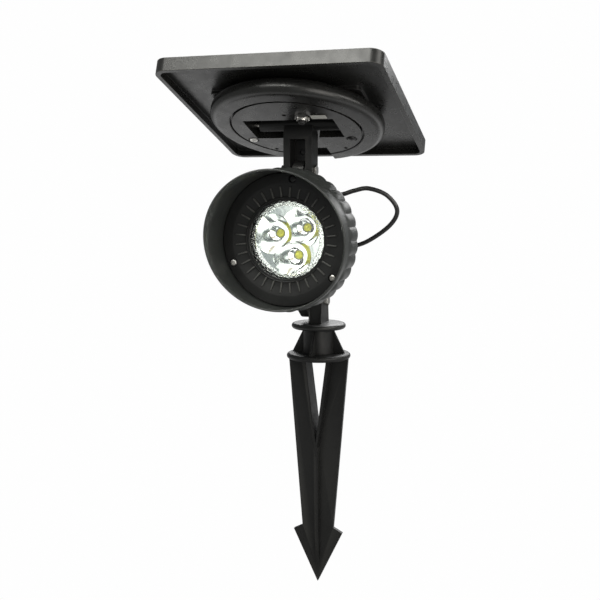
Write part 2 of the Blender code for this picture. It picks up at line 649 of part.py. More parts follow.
def build_panel_contents(mats, panel_axis, origin):
    sheet = PANEL_HALF - 0.0033
    outline = rounded_outline(sheet, sheet, TRAY_CORNER - 0.0030, 5)
    cells = prism(outline, PLATE_TOP + 0.0003, PLATE_TOP + 0.0009)
    make_object("solar_cells", cells, mats["cells"], panel_axis, origin)
    sheet_cover = prism(outline, PLATE_TOP + 0.0012, TRAY_HEIGHT - 0.0004)
    make_object("solar_glass", sheet_cover, mats["clear"], panel_axis, origin)
    seal_ring = ring(0.0436, 0.0458, -0.0088, -0.0083, 40)
    seal = make_object("cover_seal", seal_ring, mats["rubber"], panel_axis, origin)
    cut(seal, box((-SLOT_HALF_X - 0.003, SLOT_HALF_X + 0.003), (0.02, 0.06), (-0.02, 0.0)))
    pin = cylinder(PIN_RADIUS, RECESS_LEFT - 0.0006, RECESS_RIGHT + 0.0006, "X", 16, (HINGE_Y, HINGE_H))
    make_object("hinge_pin", pin, mats["steel"], panel_axis, origin)
    for side, (x, y) in COVER_SCREWS.items():
        profile = [(0.0, -0.0114), (0.0018, -0.0114), (0.0030, -0.0108), (0.0030, -0.0103),
                   (0.0011, -0.0103), (0.0011, -0.0037), (0.0, -0.0030)]
        centre = Vector(origin) + Vector((x, y, 0.0))
        screw = make_object("cover_screw_" + side, turned(profile, 18), mats["steel"], panel_axis, centre)
        for half_x, half_y in ((0.0015, 0.0003), (0.0003, 0.0015)):
            cut(screw, box((-half_x, half_x), (-half_y, half_y), (-0.0130, -0.0107)))
    pack = prism(rounded_outline(0.0210, 0.0095, 0.0015, 2, (0.0, -0.0395)), -0.0061, -0.0006)
    make_object("battery_pack", pack, mats["battery"], panel_axis, origin)
    board = box((-0.0545, -0.0425), (-0.0180, 0.0080), (-0.0057, -0.0044))
    make_object("circuit_board", board, mats["board"], panel_axis, origin)
    chip = box((-0.0515, -0.0455), (-0.0090, -0.0040), (-0.0041, -0.0027))
    make_object("charge_chip", chip, mats["black"], panel_axis, origin)
    centre = Vector(origin) + Vector((SWITCH_X, SWITCH_Y, 0.0))
    bushing = [(0.0034, -0.0142), (0.0034, -0.0088), (0.0041, -0.0088), (0.0041, -0.0022),
               (0.0, -0.0022), (0.0, -0.0067), (0.0027, -0.0067), (0.0027, -0.0142)]
    switch = spun(lambda angle: bushing, full_turn(18))
    make_object("power_switch", switch, mats["black"], panel_axis, centre)
    hexagon = cylinder(0.0052, -0.0132, -0.0108, count=6)
    nut = make_object("switch_nut", hexagon, mats["steel"], panel_axis, centre)
    cut(nut, cylinder(0.0037, -0.02, 0.0, count=24))
    outline = rounded_outline(0.0055, 0.0028, 0.0005, 2, (0.0228, -0.0225))
    label = prism(outline, BOX_FACE - 0.0006, BOX_FACE - 0.0003)
    make_object("switch_label", label, mats["label"], panel_axis, origin)


def build_button(mats, panel_axis, origin):
    profile = [(0.0, -0.0162), (0.0017, -0.0162), (0.0023, -0.0156), (0.0023, -0.0086), (0.0, -0.0086)]
    axis = Vector(origin) + Vector((SWITCH_X, SWITCH_Y, 0.0))
    make_object("push_button", turned(profile, 20), mats["rubber"], panel_axis, axis)


def smooth_route(stops, count):
    """Catmull-Rom points through the stops, spaced evenly in the curve's own parameter."""
    points = [Vector(stop) for stop in stops]
    padded = [points[0] * 2 - points[1]] + points + [points[-1] * 2 - points[-2]]
    result = []
    spans = len(points) - 1
    for i in range(count):
        position = spans * i / (count - 1)
        span = min(int(position), spans - 1)
        t = position - span
        a, b, c, d = padded[span:span + 4]
        square = (2 * a - 5 * b + 4 * c - d) * t * t
        cube = (3 * b - a - 3 * c + d) * t ** 3
        result.append(0.5 * (2 * b + (c - a) * t + square + cube))
    return result


def build_cable(mat, lamp_axis):
    """Loose loop from the arm's back, out to the side, to the gland in the middle of the lamp's rear."""
    stops = [(0.0, -0.0392, 0.1570), (0.0, -0.0350, 0.1570), (0.0, -0.0305, 0.1568), (0.0, -0.0262, 0.1548),
             (0.0008, -0.0228, 0.1500), (0.0028, -0.0202, 0.1420), (0.0072, -0.0190, 0.1330),
             (0.0145, -0.0188, 0.1272), (0.0235, -0.0187, 0.1268), (0.0325, -0.0178, 0.1295),
             (0.0430, -0.0160, 0.1312), (0.0560, -0.0123, 0.1262), (0.0629, -0.0080, 0.1153),
             (0.0566, -0.0030, 0.1041), (0.0399, 0.0010, 0.0924), (0.0265, 0.0030, 0.0876),
             (0.0150, 0.0010, 0.0880), (0.0065, -0.0055, 0.0915), (0.0015, -0.0140, 0.0945),
             (0.0, -0.0220, 0.0956), (0.0, -0.0300, 0.0956), (0.0, -0.0380, 0.0956)]
    curve = bpy.data.curves.new("lamp_cable", "CURVE")
    curve.dimensions = "3D"
    curve.bevel_depth = CABLE_DIAMETER / 2
    curve.bevel_resolution = 2
    curve.use_fill_caps = True
    curve.render_resolution_u = 0
    spline = curve.splines.new("POLY")
    route = smooth_route(stops, 52)
    spline.points.add(len(route) - 1)
    for point, position in zip(spline.points, route):
        point.co = (*(position - LOWER_PIVOT), 1.0)
    cable = bpy.data.objects.new("lamp_cable", curve)
    bpy.context.collection.objects.link(cable)
    cable.data.materials.append(mat)
    cable.parent = lamp_axis
    return cable


def main():
    clear_scene()
    mats = {
        "black": material("black_plastic", (0.022, 0.022, 0.023), 0.42),
        "satin": material("satin_black_plastic", (0.030, 0.030, 0.030), 0.36),
        "steel": material("bright_steel", (0.62, 0.60, 0.57), 0.25, 1.0),
        "chrome": material("chrome_reflector", (0.88, 0.88, 0.88), 0.06, 1.0),
        "clear": material("clear_cover", (0.92, 0.94, 0.95), 0.05),
        "rubber": material("black_rubber", (0.018, 0.018, 0.018), 0.65),
        "phosphor": material("led_phosphor", (0.85, 0.80, 0.18), 0.5),
        "board": material("circuit_board", (0.75, 0.76, 0.74), 0.5),
        "cells": material("solar_cells", (0.012, 0.020, 0.055), 0.25),
        "battery": material("battery_wrap", (0.10, 0.22, 0.42), 0.4),
        "label": material("label", (0.72, 0.73, 0.70), 0.5),
        "cable": material("cable_jacket", (0.020, 0.020, 0.020), 0.45),
    }
    build_spike(mats["black"])
    post_axis = axis_empty("post_axis", (0.0, 0.0, 0.0))
    build_post(mats["black"], post_axis)
    lower_axis = axis_empty("lower_pivot_axis", LOWER_PIVOT, post_axis)
    pivot_hardware("lower_pivot", lower_axis, 0.0053, HEX_HEIGHT, -0.0128, -0.0137, mats["steel"])

    lamp_axis = axis_empty("lamp_tilt_axis", LOWER_PIVOT, post_axis)
    offset = LAMP_CENTRE - LOWER_PIVOT
    build_housing(mats["black"], lamp_axis, offset)
    hood = spun(hood_section, full_turn(FLUTES * 4), "Y")
    hood_object = make_object("lamp_hood", hood, mats["satin"], lamp_axis, offset)
    for x, z in bezel_screw_centres():
        cut(hood_object, cylinder(0.0017, 0.0030, 0.0080, "Y", 12, (x, z)))
    build_bezel(mats["black"], lamp_axis, offset)
    build_bezel_screws(mats["steel"], lamp_axis, offset)
    build_optics(mats, lamp_axis, offset)
    build_gland("lamp_gland", mats["rubber"], lamp_axis, offset + Vector((0.0, 0.0424, 0.0)), 0.0072)

    arm_axis = axis_empty("arm_tilt_axis", UPPER_PIVOT - LOWER_PIVOT, lamp_axis)
    build_arm(mats["black"], arm_axis)
    build_gland("arm_gland", mats["rubber"], arm_axis, (0.0, FORK_HALF_Y + 0.0003, ARM_GLAND_RISE), 0.0042)
    fork_face = FORK_HALF_X + 0.0003
    pivot_hardware("upper_pivot", arm_axis, fork_face, LOW_HEX_HEIGHT, None, -fork_face, mats["steel"])
    for sign, side in ((-1, "left"), (1, "right")):
        inner = TONGUE_HALF + 0.0003
        limits = sorted((sign * inner, sign * (FORK_INNER - 0.0003)))
        make_object("fork_spacer_" + side, ring(BOLT_RADIUS + 0.0004, 0.0052, limits[0], limits[1], 24, "X"),
                    mats["rubber"], arm_axis)

    panel_axis = axis_empty("panel_hinge_axis", PANEL_HINGE - UPPER_PIVOT, arm_axis, -PANEL_TILT)
    origin = (0.0, -HINGE_Y, -HINGE_H)
    build_tray(mats["satin"], panel_axis, origin)
    build_battery_box(mats["satin"], panel_axis, origin)
    build_cover(mats["satin"], panel_axis, origin)
    build_panel_contents(mats, panel_axis, origin)
    build_button(mats, panel_axis, origin)
    build_cable(mats["cable"], lamp_axis)


main()
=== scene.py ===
"""Looks of the solar garden light: shells, metal parts, optics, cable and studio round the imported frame."""
import json
from math import atan, atan2, cos, pi, radians, sin, sqrt

import bmesh
import bpy
from mathutils import Matrix, Vector


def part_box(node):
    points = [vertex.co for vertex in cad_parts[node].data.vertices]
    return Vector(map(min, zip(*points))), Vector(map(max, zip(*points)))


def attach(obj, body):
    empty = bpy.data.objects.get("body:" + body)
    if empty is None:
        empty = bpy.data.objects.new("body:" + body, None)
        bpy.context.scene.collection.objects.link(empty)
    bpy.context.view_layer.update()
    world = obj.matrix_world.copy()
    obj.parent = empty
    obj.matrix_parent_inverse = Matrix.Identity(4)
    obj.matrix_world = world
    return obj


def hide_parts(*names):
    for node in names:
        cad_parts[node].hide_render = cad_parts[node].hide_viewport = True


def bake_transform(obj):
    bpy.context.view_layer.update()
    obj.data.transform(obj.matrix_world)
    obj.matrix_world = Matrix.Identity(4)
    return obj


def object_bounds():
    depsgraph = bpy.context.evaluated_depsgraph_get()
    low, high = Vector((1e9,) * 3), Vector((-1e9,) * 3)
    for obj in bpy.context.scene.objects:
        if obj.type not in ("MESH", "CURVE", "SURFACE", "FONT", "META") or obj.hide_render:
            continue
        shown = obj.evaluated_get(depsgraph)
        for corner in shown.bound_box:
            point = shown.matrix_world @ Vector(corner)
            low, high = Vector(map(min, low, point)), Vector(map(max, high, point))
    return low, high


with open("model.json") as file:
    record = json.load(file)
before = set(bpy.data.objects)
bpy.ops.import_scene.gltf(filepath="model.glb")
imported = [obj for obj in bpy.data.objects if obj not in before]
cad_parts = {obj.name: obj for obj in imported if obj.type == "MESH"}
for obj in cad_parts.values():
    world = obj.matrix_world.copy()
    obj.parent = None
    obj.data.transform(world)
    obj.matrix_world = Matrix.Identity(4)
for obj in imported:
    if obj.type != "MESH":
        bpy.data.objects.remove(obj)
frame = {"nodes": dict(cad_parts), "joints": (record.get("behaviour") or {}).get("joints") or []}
CAD_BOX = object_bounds()


def moved(x, y, z):
    return Matrix.Translation((x, y, z))


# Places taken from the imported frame
JOINTS = {joint["name"]: joint for joint in frame["joints"]}
LOWER_PIVOT = Vector(JOINTS["lamp_tilt"]["pos_m"])
UPPER_PIVOT = Vector(JOINTS["arm_tilt"]["pos_m"])
PANEL_HINGE = Vector(JOINTS["panel_tilt"]["pos_m"])
PRESS = Vector(JOINTS["button_press"]["axis"])
PANEL_TILT = atan2(PRESS.y, PRESS.z)
LENS_LOW, LENS_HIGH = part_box("lens")
LAMP_CENTRE = Vector((0.0, LENS_LOW.y + 0.0001, (LENS_LOW.z + LENS_HIGH.z) / 2))
HINGE_Y = 0.0069
HINGE_H = -0.0030

LAMP = moved(*LAMP_CENTRE)
ARM = moved(*UPPER_PIVOT)
GROUND = Matrix.Identity(4)
PANEL = moved(*PANEL_HINGE) @ Matrix.Rotation(-PANEL_TILT, 4, "X") @ moved(0.0, -HINGE_Y, -HINGE_H)

# Camera
CAMERA_PLACE = (0.220, -0.707, 0.130)
CAMERA_DOWN = radians(6.52)
CAMERA_TURN = radians(18.41)
CAMERA_LENS = 57.72
CAMERA_SENSOR = 36.0

# Studio. Only the other surfaces see the floor's painted shadow, rings of grey round the light's foot: a tone
# at each distance from their centre.
WHITE = 0.992
FLOOR_GREY = 0.12
FLOOR_PAINTED_SHADOW_CENTRE = (0.04, 0.12, -0.18)
FLOOR_PAINTED_SHADOW_RINGS = ((0.0, 0.45), (0.10, 0.45), (0.16, 0.03), (0.27, 0.03), (0.40, 0.95), (0.60, 0.80),
                (0.95, 0.20))
SURROUNDINGS = ((0.25, (0.26, 0.265, 0.26)), (0.75, (0.22, 0.225, 0.23)))
ROOM_PATCHES = ((0.36, (0.16, 0.18, 0.175)), (0.42, (0.55, 0.60, 0.58)), (0.465, (1.9, 1.95, 1.85)),
                (0.60, (2.2, 2.2, 2.1)), (0.66, (0.66, 0.55, 0.40)))
LIGHTS = (
    ("key", (-0.22, -1.10, 1.15), (0.9, 0.9), 20.0, (1.0, 0.995, 0.94)),
    ("right_fill", (1.25, -0.25, 0.55), (0.8, 0.9), 9.0, (1.0, 0.98, 0.93)),
    ("top_back", (0.10, 0.75, 1.10), (1.0, 0.7), 16.0, (1.0, 1.0, 1.0)),
    ("back_card", (0.05, 1.05, 0.62), (1.4, 0.5), 10.0, (1.0, 1.0, 1.0)),
    ("right_card", (0.95, -1.05, 0.10), (0.7, 0.9), 6.5, (1.0, 0.96, 0.90)),
)

# Materials
CLEAR_IOR = 1.47
MOULDED = {
    "black": ("black_plastic", (0.0088, 0.0092, 0.0090), 0.40, 2300.0, 0.00012, (0.024, 0.024, 0.023), 0.42),
    "satin": ("satin_black_plastic", (0.0115, 0.0116, 0.0109), 0.30, 2600.0, 0.00009, (0.034, 0.033, 0.029),
              0.5),
    # Ribs: a lighter copy of the black plastic they are moulded in, painted highlight on the thin ribs
    "rib": ("rib_painted_highlight_plastic", (0.052, 0.054, 0.050), 0.34, 2300.0, 0.00006, (0.120, 0.118, 0.110), 0.5),
    # Hood: a lighter, grey-green copy of the black plastic, painted light for the light falling inside the
    # hood
    "hood": ("hood_painted_light_plastic", (0.0260, 0.0285, 0.0270), 0.44, 2600.0, 0.00009, (0.034, 0.034, 0.031), 0.5),
    "spike": ("spike_plastic", (0.0075, 0.0076, 0.0075), 0.46, 2300.0, 0.00012, (0.020, 0.020, 0.019), 0.30),
}
METALS = {
    "steel": ("plated_steel", (0.66, 0.64, 0.60), 0.26),
    "bright": ("bright_nickel", (0.80, 0.78, 0.74), 0.14),
    # The next two are the same screw steel made lighter and darker: painted light on a lit screw, painted
    # shade on a screw in shadow
    "frosted": ("highlight_painted_nickel", (0.86, 0.85, 0.82), 0.42),
    "blackened": ("shade_painted_steel", (0.06, 0.06, 0.06), 0.34),
    "silver": ("silver_ribbon", (0.70, 0.70, 0.72), 0.30),
}
COATED = {
    "phosphor": ("led_phosphor", (0.80, 0.78, 0.12), 0.45, 600.0),
    "board": ("white_board", (0.66, 0.67, 0.64), 0.40, 300.0),
    "backing": ("cell_backing", (0.020, 0.022, 0.028), 0.45, 200.0),
    "battery": ("battery_wrap", (0.06, 0.16, 0.34), 0.35, 120.0),
    "label": ("label_paper", (0.50, 0.50, 0.46), 0.55, 900.0),
}
INNER_PARTS = {"lens_gasket": "rubber", "led_board": "board", "cover_seal": "rubber", "hinge_pin": "steel",
               "battery_pack": "battery", "circuit_board": "board", "charge_chip": "black"}

# Meshes
WELD = 1e-6
SHARP_ANGLE = radians(38)
BEVEL_ANGLE = radians(36)

# Lamp cable
CABLE_DIAMETER = 0.0034
CABLE_SIDES = 16
CABLE_STEPS = 190
GLAND_RINGS = 3
CABLE_STOPS = [
    (0.0, -0.0392, 0.1570), (0.0, -0.0350, 0.1570), (0.0, -0.0305, 0.1568), (0.0, -0.0262, 0.1548),
    (0.0008, -0.0228, 0.1500), (0.0028, -0.0202, 0.1420), (0.0072, -0.0190, 0.1330),
    (0.0145, -0.0188, 0.1272), (0.0235, -0.0187, 0.1268), (0.0325, -0.0178, 0.1295),
    (0.0430, -0.0160, 0.1312), (0.0560, -0.0123, 0.1262), (0.0629, -0.0080, 0.1153),
    (0.0566, -0.0030, 0.1041), (0.0399, 0.0010, 0.0924), (0.0265, 0.0030, 0.0876),
    (0.0150, 0.0010, 0.0880), (0.0065, -0.0055, 0.0915), (0.0015, -0.0140, 0.0945),
    (0.0, -0.0220, 0.0956), (0.0, -0.0300, 0.0956), (0.0, -0.0380, 0.0956)]

# Lamp
FLUTES = 32
FLUTE_STEPS = 12
HOUSING_RADIUS = 0.0452
FLUTE_HEIGHT = 0.0013
HOOD_RADIUS = 0.0485
HOOD_WALL = 0.0017
HOOD_LENGTH = 0.0280
HOOD_SLOPE = 0.21
HOOD_LONG_SIDE = radians(127.0)
GRIP_FRONT = -0.0115
GRIP_FADE = ((0.0100, 1.0), (0.0050, 0.97), (0.0034, 0.88), (0.0022, 0.72), (0.0012, 0.50),
             (0.0005, 0.25))
BEZEL_RADIUS = 0.0463
BEZEL_SCREW_CIRCLE = 0.0424
BEZEL_SCREW_TURN = radians(83.0)
RIB_PROFILE = ((0.0300, -0.0014), (0.0372, -0.0026), (0.0372, -0.0034), (0.0366, -0.00395),
               (0.0302, -0.0034), (0.0298, -0.0028))
RIB_HALF = 0.00052
RIB_TOP_HALF = 0.00040
LENS_OPENING = 0.0273
LENS_RADIUS = 0.0292
CUP_OFFSET = 0.0116
CUP_RADIUS = 0.0142
CUP_THROAT = 0.0037
CUP_STEPS = 14
CUP_TURN = 42

# Panel head
PANEL_HALF = 0.0780
TRAY_HEIGHT = 0.0095
TRAY_CORNER = 0.0090
TRAY_WALL = 0.0035
PLATE_BOTTOM = 0.0050
PLATE_TOP = 0.0066
CELL_COLUMNS = 3
CELL_ROWS = 10
CELL_MARGIN = 0.0045
CELL_GAP = 0.0012
BASE_HALF_X = 0.0540
BASE_HALF_Y = 0.0360
BOX_FACE = -0.0105
BOX_TOP = 0.0020
BOX_ROOF = 0.0004
RING_INNER = 0.0478
COVER_RADIUS = 0.0462
COVER_TOP = -0.0091
SEAT_BOTTOM = -0.0080
SEAT_TOP = -0.0065
RECESS_LEFT = -0.0345
RECESS_RIGHT = 0.0315
RECESS_NEAR = -0.0175
RECESS_FAR = 0.0140
RECESS_ROOF = 0.0028
POCKET_WALL = 0.0014
SLOT_HALF_X = 0.0126
COVER_SCREWS = {"left": (-0.0385, 0.0165), "right": (0.0358, 0.0175)}
BLIND_HOLES = ((-0.0265, 0.0345), (0.0270, 0.0345), (-0.0010, -0.0258))
SWITCH = (0.0115, -0.0233)
LABEL = (0.0228, -0.0225)

# Arm, post and spike
FORK_HALF_X = 0.0107
FORK_HALF_Y = 0.0071
FORK_INNER = 0.0057
FORK_SLOT_TOP = 0.1493
FORK_POCKET_TOP = 0.1660
ARM_GLAND_RISE = 0.0130
BARREL_RADIUS = 0.0050
BARREL_HALF = 0.0300
HINGE_PIN_HOLE = 0.0018
BOLT_HOLE = 0.0024
BOLT_RADIUS = 0.0020
HEX_RADIUS = 0.0039
HEX_CHAMFER = 0.0005
HEX_EDGE = 0.00018
NUT_HEIGHT = 0.0030
WASHER_THICKNESS = 0.0006
DISC_RADIUS = 0.0248
DISC_HEIGHT = 0.0046
SOCKET_RADIUS = 0.0117
SOCKET_TOP = 0.0232
FLANGE_RADIUS = 0.0210
FLANGE_BOTTOM = 0.0235
FLANGE_TOP = 0.0280
GAP_HALF = 0.0080
GAP_APEX = -0.0660
GUSSET_HALF = 0.0011
BLADE_HALF = 0.0015
LEG_HALF = 0.0080
BARB_Z = -0.1390
POST_HALF_X = 0.0050
POST_HALF_Y = 0.0088


# ---- Camera and studio
def scene_object(name, data):
    obj = bpy.data.objects.new(name, data)
    bpy.context.scene.collection.objects.link(obj)
    return obj


def empty_tree(owner):
    owner.use_nodes = True
    owner.node_tree.nodes.clear()
    return owner.node_tree


def make_camera():
    data = bpy.data.cameras.new("camera")
    data.lens = CAMERA_LENS
    data.sensor_width = CAMERA_SENSOR
    camera = scene_object("camera", data)
    camera.location = CAMERA_PLACE
    camera.rotation_euler = (pi / 2 - CAMERA_DOWN, 0.0, CAMERA_TURN)
    bpy.context.scene.camera = camera
    bpy.context.scene.view_settings.view_transform = "Standard"


def make_lights(target):
    for name, location, size, watts, colour in LIGHTS:
        data = bpy.data.lights.new(name, "AREA")
        data.shape = "RECTANGLE"
        data.size, data.size_y = size
        data.energy = watts
        data.color = colour
        light = scene_object(name, data)
        light.location = location
        light.rotation_euler = (target - Vector(location)).to_track_quat("-Z", "Y").to_euler()
        light.visible_camera = False


def make_node(tree, kind, inputs=(), **settings):
    """Shader node with its settings. An input is a value, an output socket or a node's first output."""
    node = tree.nodes.new("ShaderNode" + kind)
    for key, value in settings.items():
        setattr(node, key, value)
    for key, value in dict(inputs).items():
        if isinstance(value, bpy.types.Node):
            value = value.outputs[0]
        if isinstance(value, bpy.types.NodeSocket):
            tree.links.new(value, node.inputs[key])
        else:
            node.inputs[key].default_value = value
    return node


def make_ramp(tree, value, stops):
    """Colours laid over a value, each stop a position and a colour."""
    node = make_node(tree, "ValToRGB", {"Fac": value})
    elements = node.color_ramp.elements
    while len(elements) < len(stops):
        elements.new(0.5)
    for element, (position, colour) in zip(elements, stops):
        element.position = position
        element.color = (*colour, 1.0)
    return node


def direct_or_other(tree, direct, other):
    """What the camera sees directly and what reaches the light's surfaces."""
    seen = make_node(tree, "LightPath").outputs["Is Camera Ray"]
    return make_node(tree, "MixShader", {"Fac": seen, 1: other, 2: direct})


def make_world():
    """Near-white surroundings for the camera, dimmer ones for the light that reaches the object."""
    world = bpy.data.worlds.new("studio")
    bpy.context.scene.world = world
    tree = empty_tree(world)
    direction = make_node(tree, "TexCoord").outputs["Generated"]
    depth = make_node(tree, "SeparateXYZ", {"Vector": direction}).outputs["Y"]
    across = make_node(tree, "MapRange", {"Value": depth, "From Min": -1.0, "From Max": 1.0})
    lit = make_node(tree, "Background", {"Color": make_ramp(tree, across, SURROUNDINGS)})
    # What lies behind clear plastic reflects a brighter room in front, with dark and warm patches
    patches = make_node(tree, "TexNoise", {"Vector": direction, "Scale": 1.05, "Detail": 1.0})
    room = make_node(tree, "Background", {"Color": make_ramp(tree, patches, ROOM_PATCHES)})
    through = make_node(tree, "Math", {0: make_node(tree, "LightPath").outputs["Transmission Depth"], 1: 1.0},
                        operation="MINIMUM")
    in_front = make_node(tree, "MapRange", {"Value": depth, "From Min": -0.1, "From Max": 0.1, "To Min": 1.0,
                                            "To Max": 0.0})
    share = make_node(tree, "Math", {0: through, 1: in_front}, operation="MULTIPLY")
    optics = make_node(tree, "MixShader", {"Fac": share, 1: lit, 2: room})
    plain = make_node(tree, "Background", {"Color": (1.0, 1.0, 1.0, 1.0), "Strength": WHITE})
    make_node(tree, "OutputWorld", {"Surface": direct_or_other(tree, plain, optics)})


def make_floor(level):
    """Pale floor under and behind the light, with a painted shadow in rings of grey for the surfaces that
    face it.
    """
    mesh = bpy.data.meshes.new("floor")
    x, front, back = 3.0, -0.30, 4.0
    corners = [(-x, front, level), (x, front, level), (x, back, level), (-x, back, level)]
    mesh.from_pydata(corners, [], [(0, 1, 2, 3)])
    floor = scene_object("floor", mesh)
    mat = bpy.data.materials.new("floor_white_painted_shadow")
    tree = empty_tree(mat)
    spot = make_node(tree, "TexCoord").outputs["Object"]
    centred = make_node(tree, "VectorMath", {0: spot, 1: FLOOR_PAINTED_SHADOW_CENTRE}, operation="SUBTRACT")
    reach = make_node(tree, "VectorMath", {0: centred}, operation="LENGTH").outputs["Value"]
    # painted shadow: darker rings of grey on the floor round the light's foot, seen only in reflections and
    # bounced light
    rings = make_ramp(tree, reach, [(distance, (tone,) * 3) for distance, tone in FLOOR_PAINTED_SHADOW_RINGS])
    painted_shadow_glow = make_node(tree, "Emission", {"Color": rings})
    diffuse = make_node(tree, "BsdfDiffuse", {"Color": (FLOOR_GREY, FLOOR_GREY, FLOOR_GREY, 1.0)})
    both = make_node(tree, "AddShader", {0: diffuse, 1: painted_shadow_glow})
    plain = make_node(tree, "Emission", {"Color": (1.0, 1.0, 1.0, 1.0), "Strength": WHITE})
    make_node(tree, "OutputMaterial", {"Surface": direct_or_other(tree, plain, both)})
    mesh.materials.append(mat)


# ---- Materials
def tinted(colour, factor):
    return tuple(c * factor for c in colour)


class Surface:
    """A Principled material with small helpers for its procedural detail."""

    def __init__(self, name, colour, roughness, metallic=0.0):
        self.material = bpy.data.materials.new(name)
        self.material.use_nodes = True
        self.tree = self.material.node_tree
        self.inputs = self.tree.nodes["Principled BSDF"].inputs
        self.inputs["Base Color"].default_value = (*colour, 1.0)
        self.inputs["Roughness"].default_value = roughness
        self.inputs["Metallic"].default_value = metallic
        self.coords = self.node("TexCoord").outputs["Object"]
        self.normal = None

    def node(self, kind, inputs=(), **settings):
        return make_node(self.tree, kind, inputs, **settings)

    def feed(self, name, output):
        self.tree.links.new(output, self.inputs[name])

    def noise(self, scale, detail, vector=None):
        inputs = {"Vector": vector or self.coords, "Scale": scale, "Detail": detail}
        return self.node("TexNoise", inputs).outputs["Fac"]

    def crystals(self, scale):
        return self.node("TexVoronoi", {"Vector": self.coords, "Scale": scale}).outputs["Distance"]

    def ranged(self, value, low, high, from_low=0.3, from_high=0.7):
        inputs = {"Value": value, "From Min": from_low, "From Max": from_high, "To Min": low, "To Max": high}
        return self.node("MapRange", inputs).outputs["Result"]

    def mixed(self, factor, first, second):
        first, second = ((*c, 1.0) if isinstance(c, tuple) else c for c in (first, second))
        return self.node("Mix", {"Factor": factor, 6: first, 7: second}, data_type="RGBA").outputs[2]

    def mottled(self, scale, colour, dark, light):
        """The colour drifting between a darker and a lighter tint of itself."""
        drift = self.ranged(self.noise(scale, 4.0), 0.0, 1.0)
        return self.mixed(drift, tinted(colour, dark), tinted(colour, light))

    def colour(self, output):
        self.feed("Base Color", output)

    def gloss(self, scale, detail, low, high):
        """Roughness drifting from low to high."""
        self.feed("Roughness", self.ranged(self.noise(scale, detail), low, high))

    def bump(self, value, strength, distance):
        inputs = {"Height": value, "Strength": strength, "Distance": distance}
        if self.normal is not None:
            inputs["Normal"] = self.normal
        self.normal = self.node("Bump", inputs).outputs["Normal"]
        self.feed("Normal", self.normal)


def moulded_plastic(name, colour, roughness, grain, grain_depth, worn, shine):
    """Moulded plastic: fine spark grain, slow drift of tone and gloss, rubbed edges, a few dust specks."""
    s = Surface(name, colour, roughness)
    edges = s.ranged(s.node("NewGeometry").outputs["Pointiness"], 0.0, 1.0, 0.53, 0.66)
    rubbed = s.mixed(edges, s.mottled(38.0, colour, 0.80, 1.22), worn)
    specks = s.ranged(s.noise(900.0, 2.0), 0.0, 0.35, 0.72, 0.80)
    s.colour(s.mixed(specks, rubbed, tinted(worn, 2.6)))
    s.gloss(120.0, 5.0, roughness - 0.06, roughness + 0.07)
    s.bump(s.noise(grain, 2.0), 0.35, grain_depth)
    s.bump(s.noise(55.0, 2.0), 0.25, 0.00025)
    s.inputs["Specular IOR Level"].default_value = shine
    return s.material


def plated_steel(name, colour, roughness):
    """Zinc-plated steel: faint turning marks and blotches in the plating."""
    s = Surface(name, colour, roughness, 1.0)
    s.colour(s.mottled(900.0, colour, 0.82, 1.0))
    s.gloss(1500.0, 3.0, roughness - 0.07, roughness + 0.12)
    along = s.node("Mapping", {"Vector": s.coords, "Scale": (1.0, 0.25, 0.25)})
    s.bump(s.noise(2600.0, 3.0, along), 0.22, 0.00005)
    return s.material


def chrome_reflector():
    """Vacuum-metallised reflector: mirror bright with a soft hammered wave."""
    s = Surface("chrome_mirror", (0.93, 0.94, 0.93), 0.06, 1.0)
    s.gloss(700.0, 3.0, 0.03, 0.12)
    s.bump(s.noise(260.0, 1.0), 0.10, 0.00025)
    return s.material


def see_through(name, colour, roughness, ior):
    s = Surface(name, colour, roughness)
    s.inputs["Transmission Weight"].default_value = 1.0
    s.inputs["IOR"].default_value = ior
    return s


def clear_plastic(name, roughness, ior):
    s = see_through(name, (0.97, 0.985, 0.98), roughness, ior)
    s.gloss(500.0, 3.0, roughness * 0.5, roughness * 1.6)
    s.bump(s.noise(420.0, 2.0), 0.08, 0.0001)
    return s.material


def pebbled_plastic():
    """Clear ring moulded with small pebbles that scatter the light at the lens's rim."""
    s = see_through("pebbled_clear", (0.97, 0.985, 0.97), 0.08, CLEAR_IOR)
    s.gloss(900.0, 2.0, 0.05, 0.14)
    s.bump(s.crystals(850.0), 0.8, 0.0006)
    return s.material


def rubber(name, colour, roughness):
    s = Surface(name, colour, roughness)
    s.colour(s.mottled(200.0, colour, 0.75, 1.35))
    s.gloss(450.0, 4.0, roughness - 0.08, roughness + 0.08)
    s.bump(s.noise(2600.0, 2.0), 0.30, 0.00010)
    return s.material


def coated(name, colour, roughness, scale):
    """Plain painted, printed or wrapped surface with a faint mottle."""
    s = Surface(name, colour, roughness)
    s.colour(s.mottled(scale, colour, 0.86, 1.10))
    s.gloss(scale * 2.0, 3.0, roughness - 0.06, roughness + 0.08)
    s.bump(s.noise(scale * 4.0, 2.0), 0.15, 0.00008)
    return s.material


def cell_silicon():
    """Dark blue cell with crystal shimmer and fine silver fingers."""
    s = Surface("cell_silicon", (0.010, 0.018, 0.050), 0.22)
    shimmer = s.ranged(s.crystals(130.0), 0.0, 1.0, 0.0, 0.9)
    blue = s.mixed(shimmer, (0.008, 0.014, 0.042), (0.016, 0.030, 0.085))
    fingers = s.node("TexWave", {"Vector": s.coords, "Scale": 100.0}, bands_direction="X")
    lines = s.ranged(fingers.outputs["Fac"], 0.0, 0.75, 0.93, 0.99)
    s.colour(s.mixed(lines, blue, (0.35, 0.37, 0.40)))
    s.gloss(260.0, 3.0, 0.16, 0.30)
    return s.material


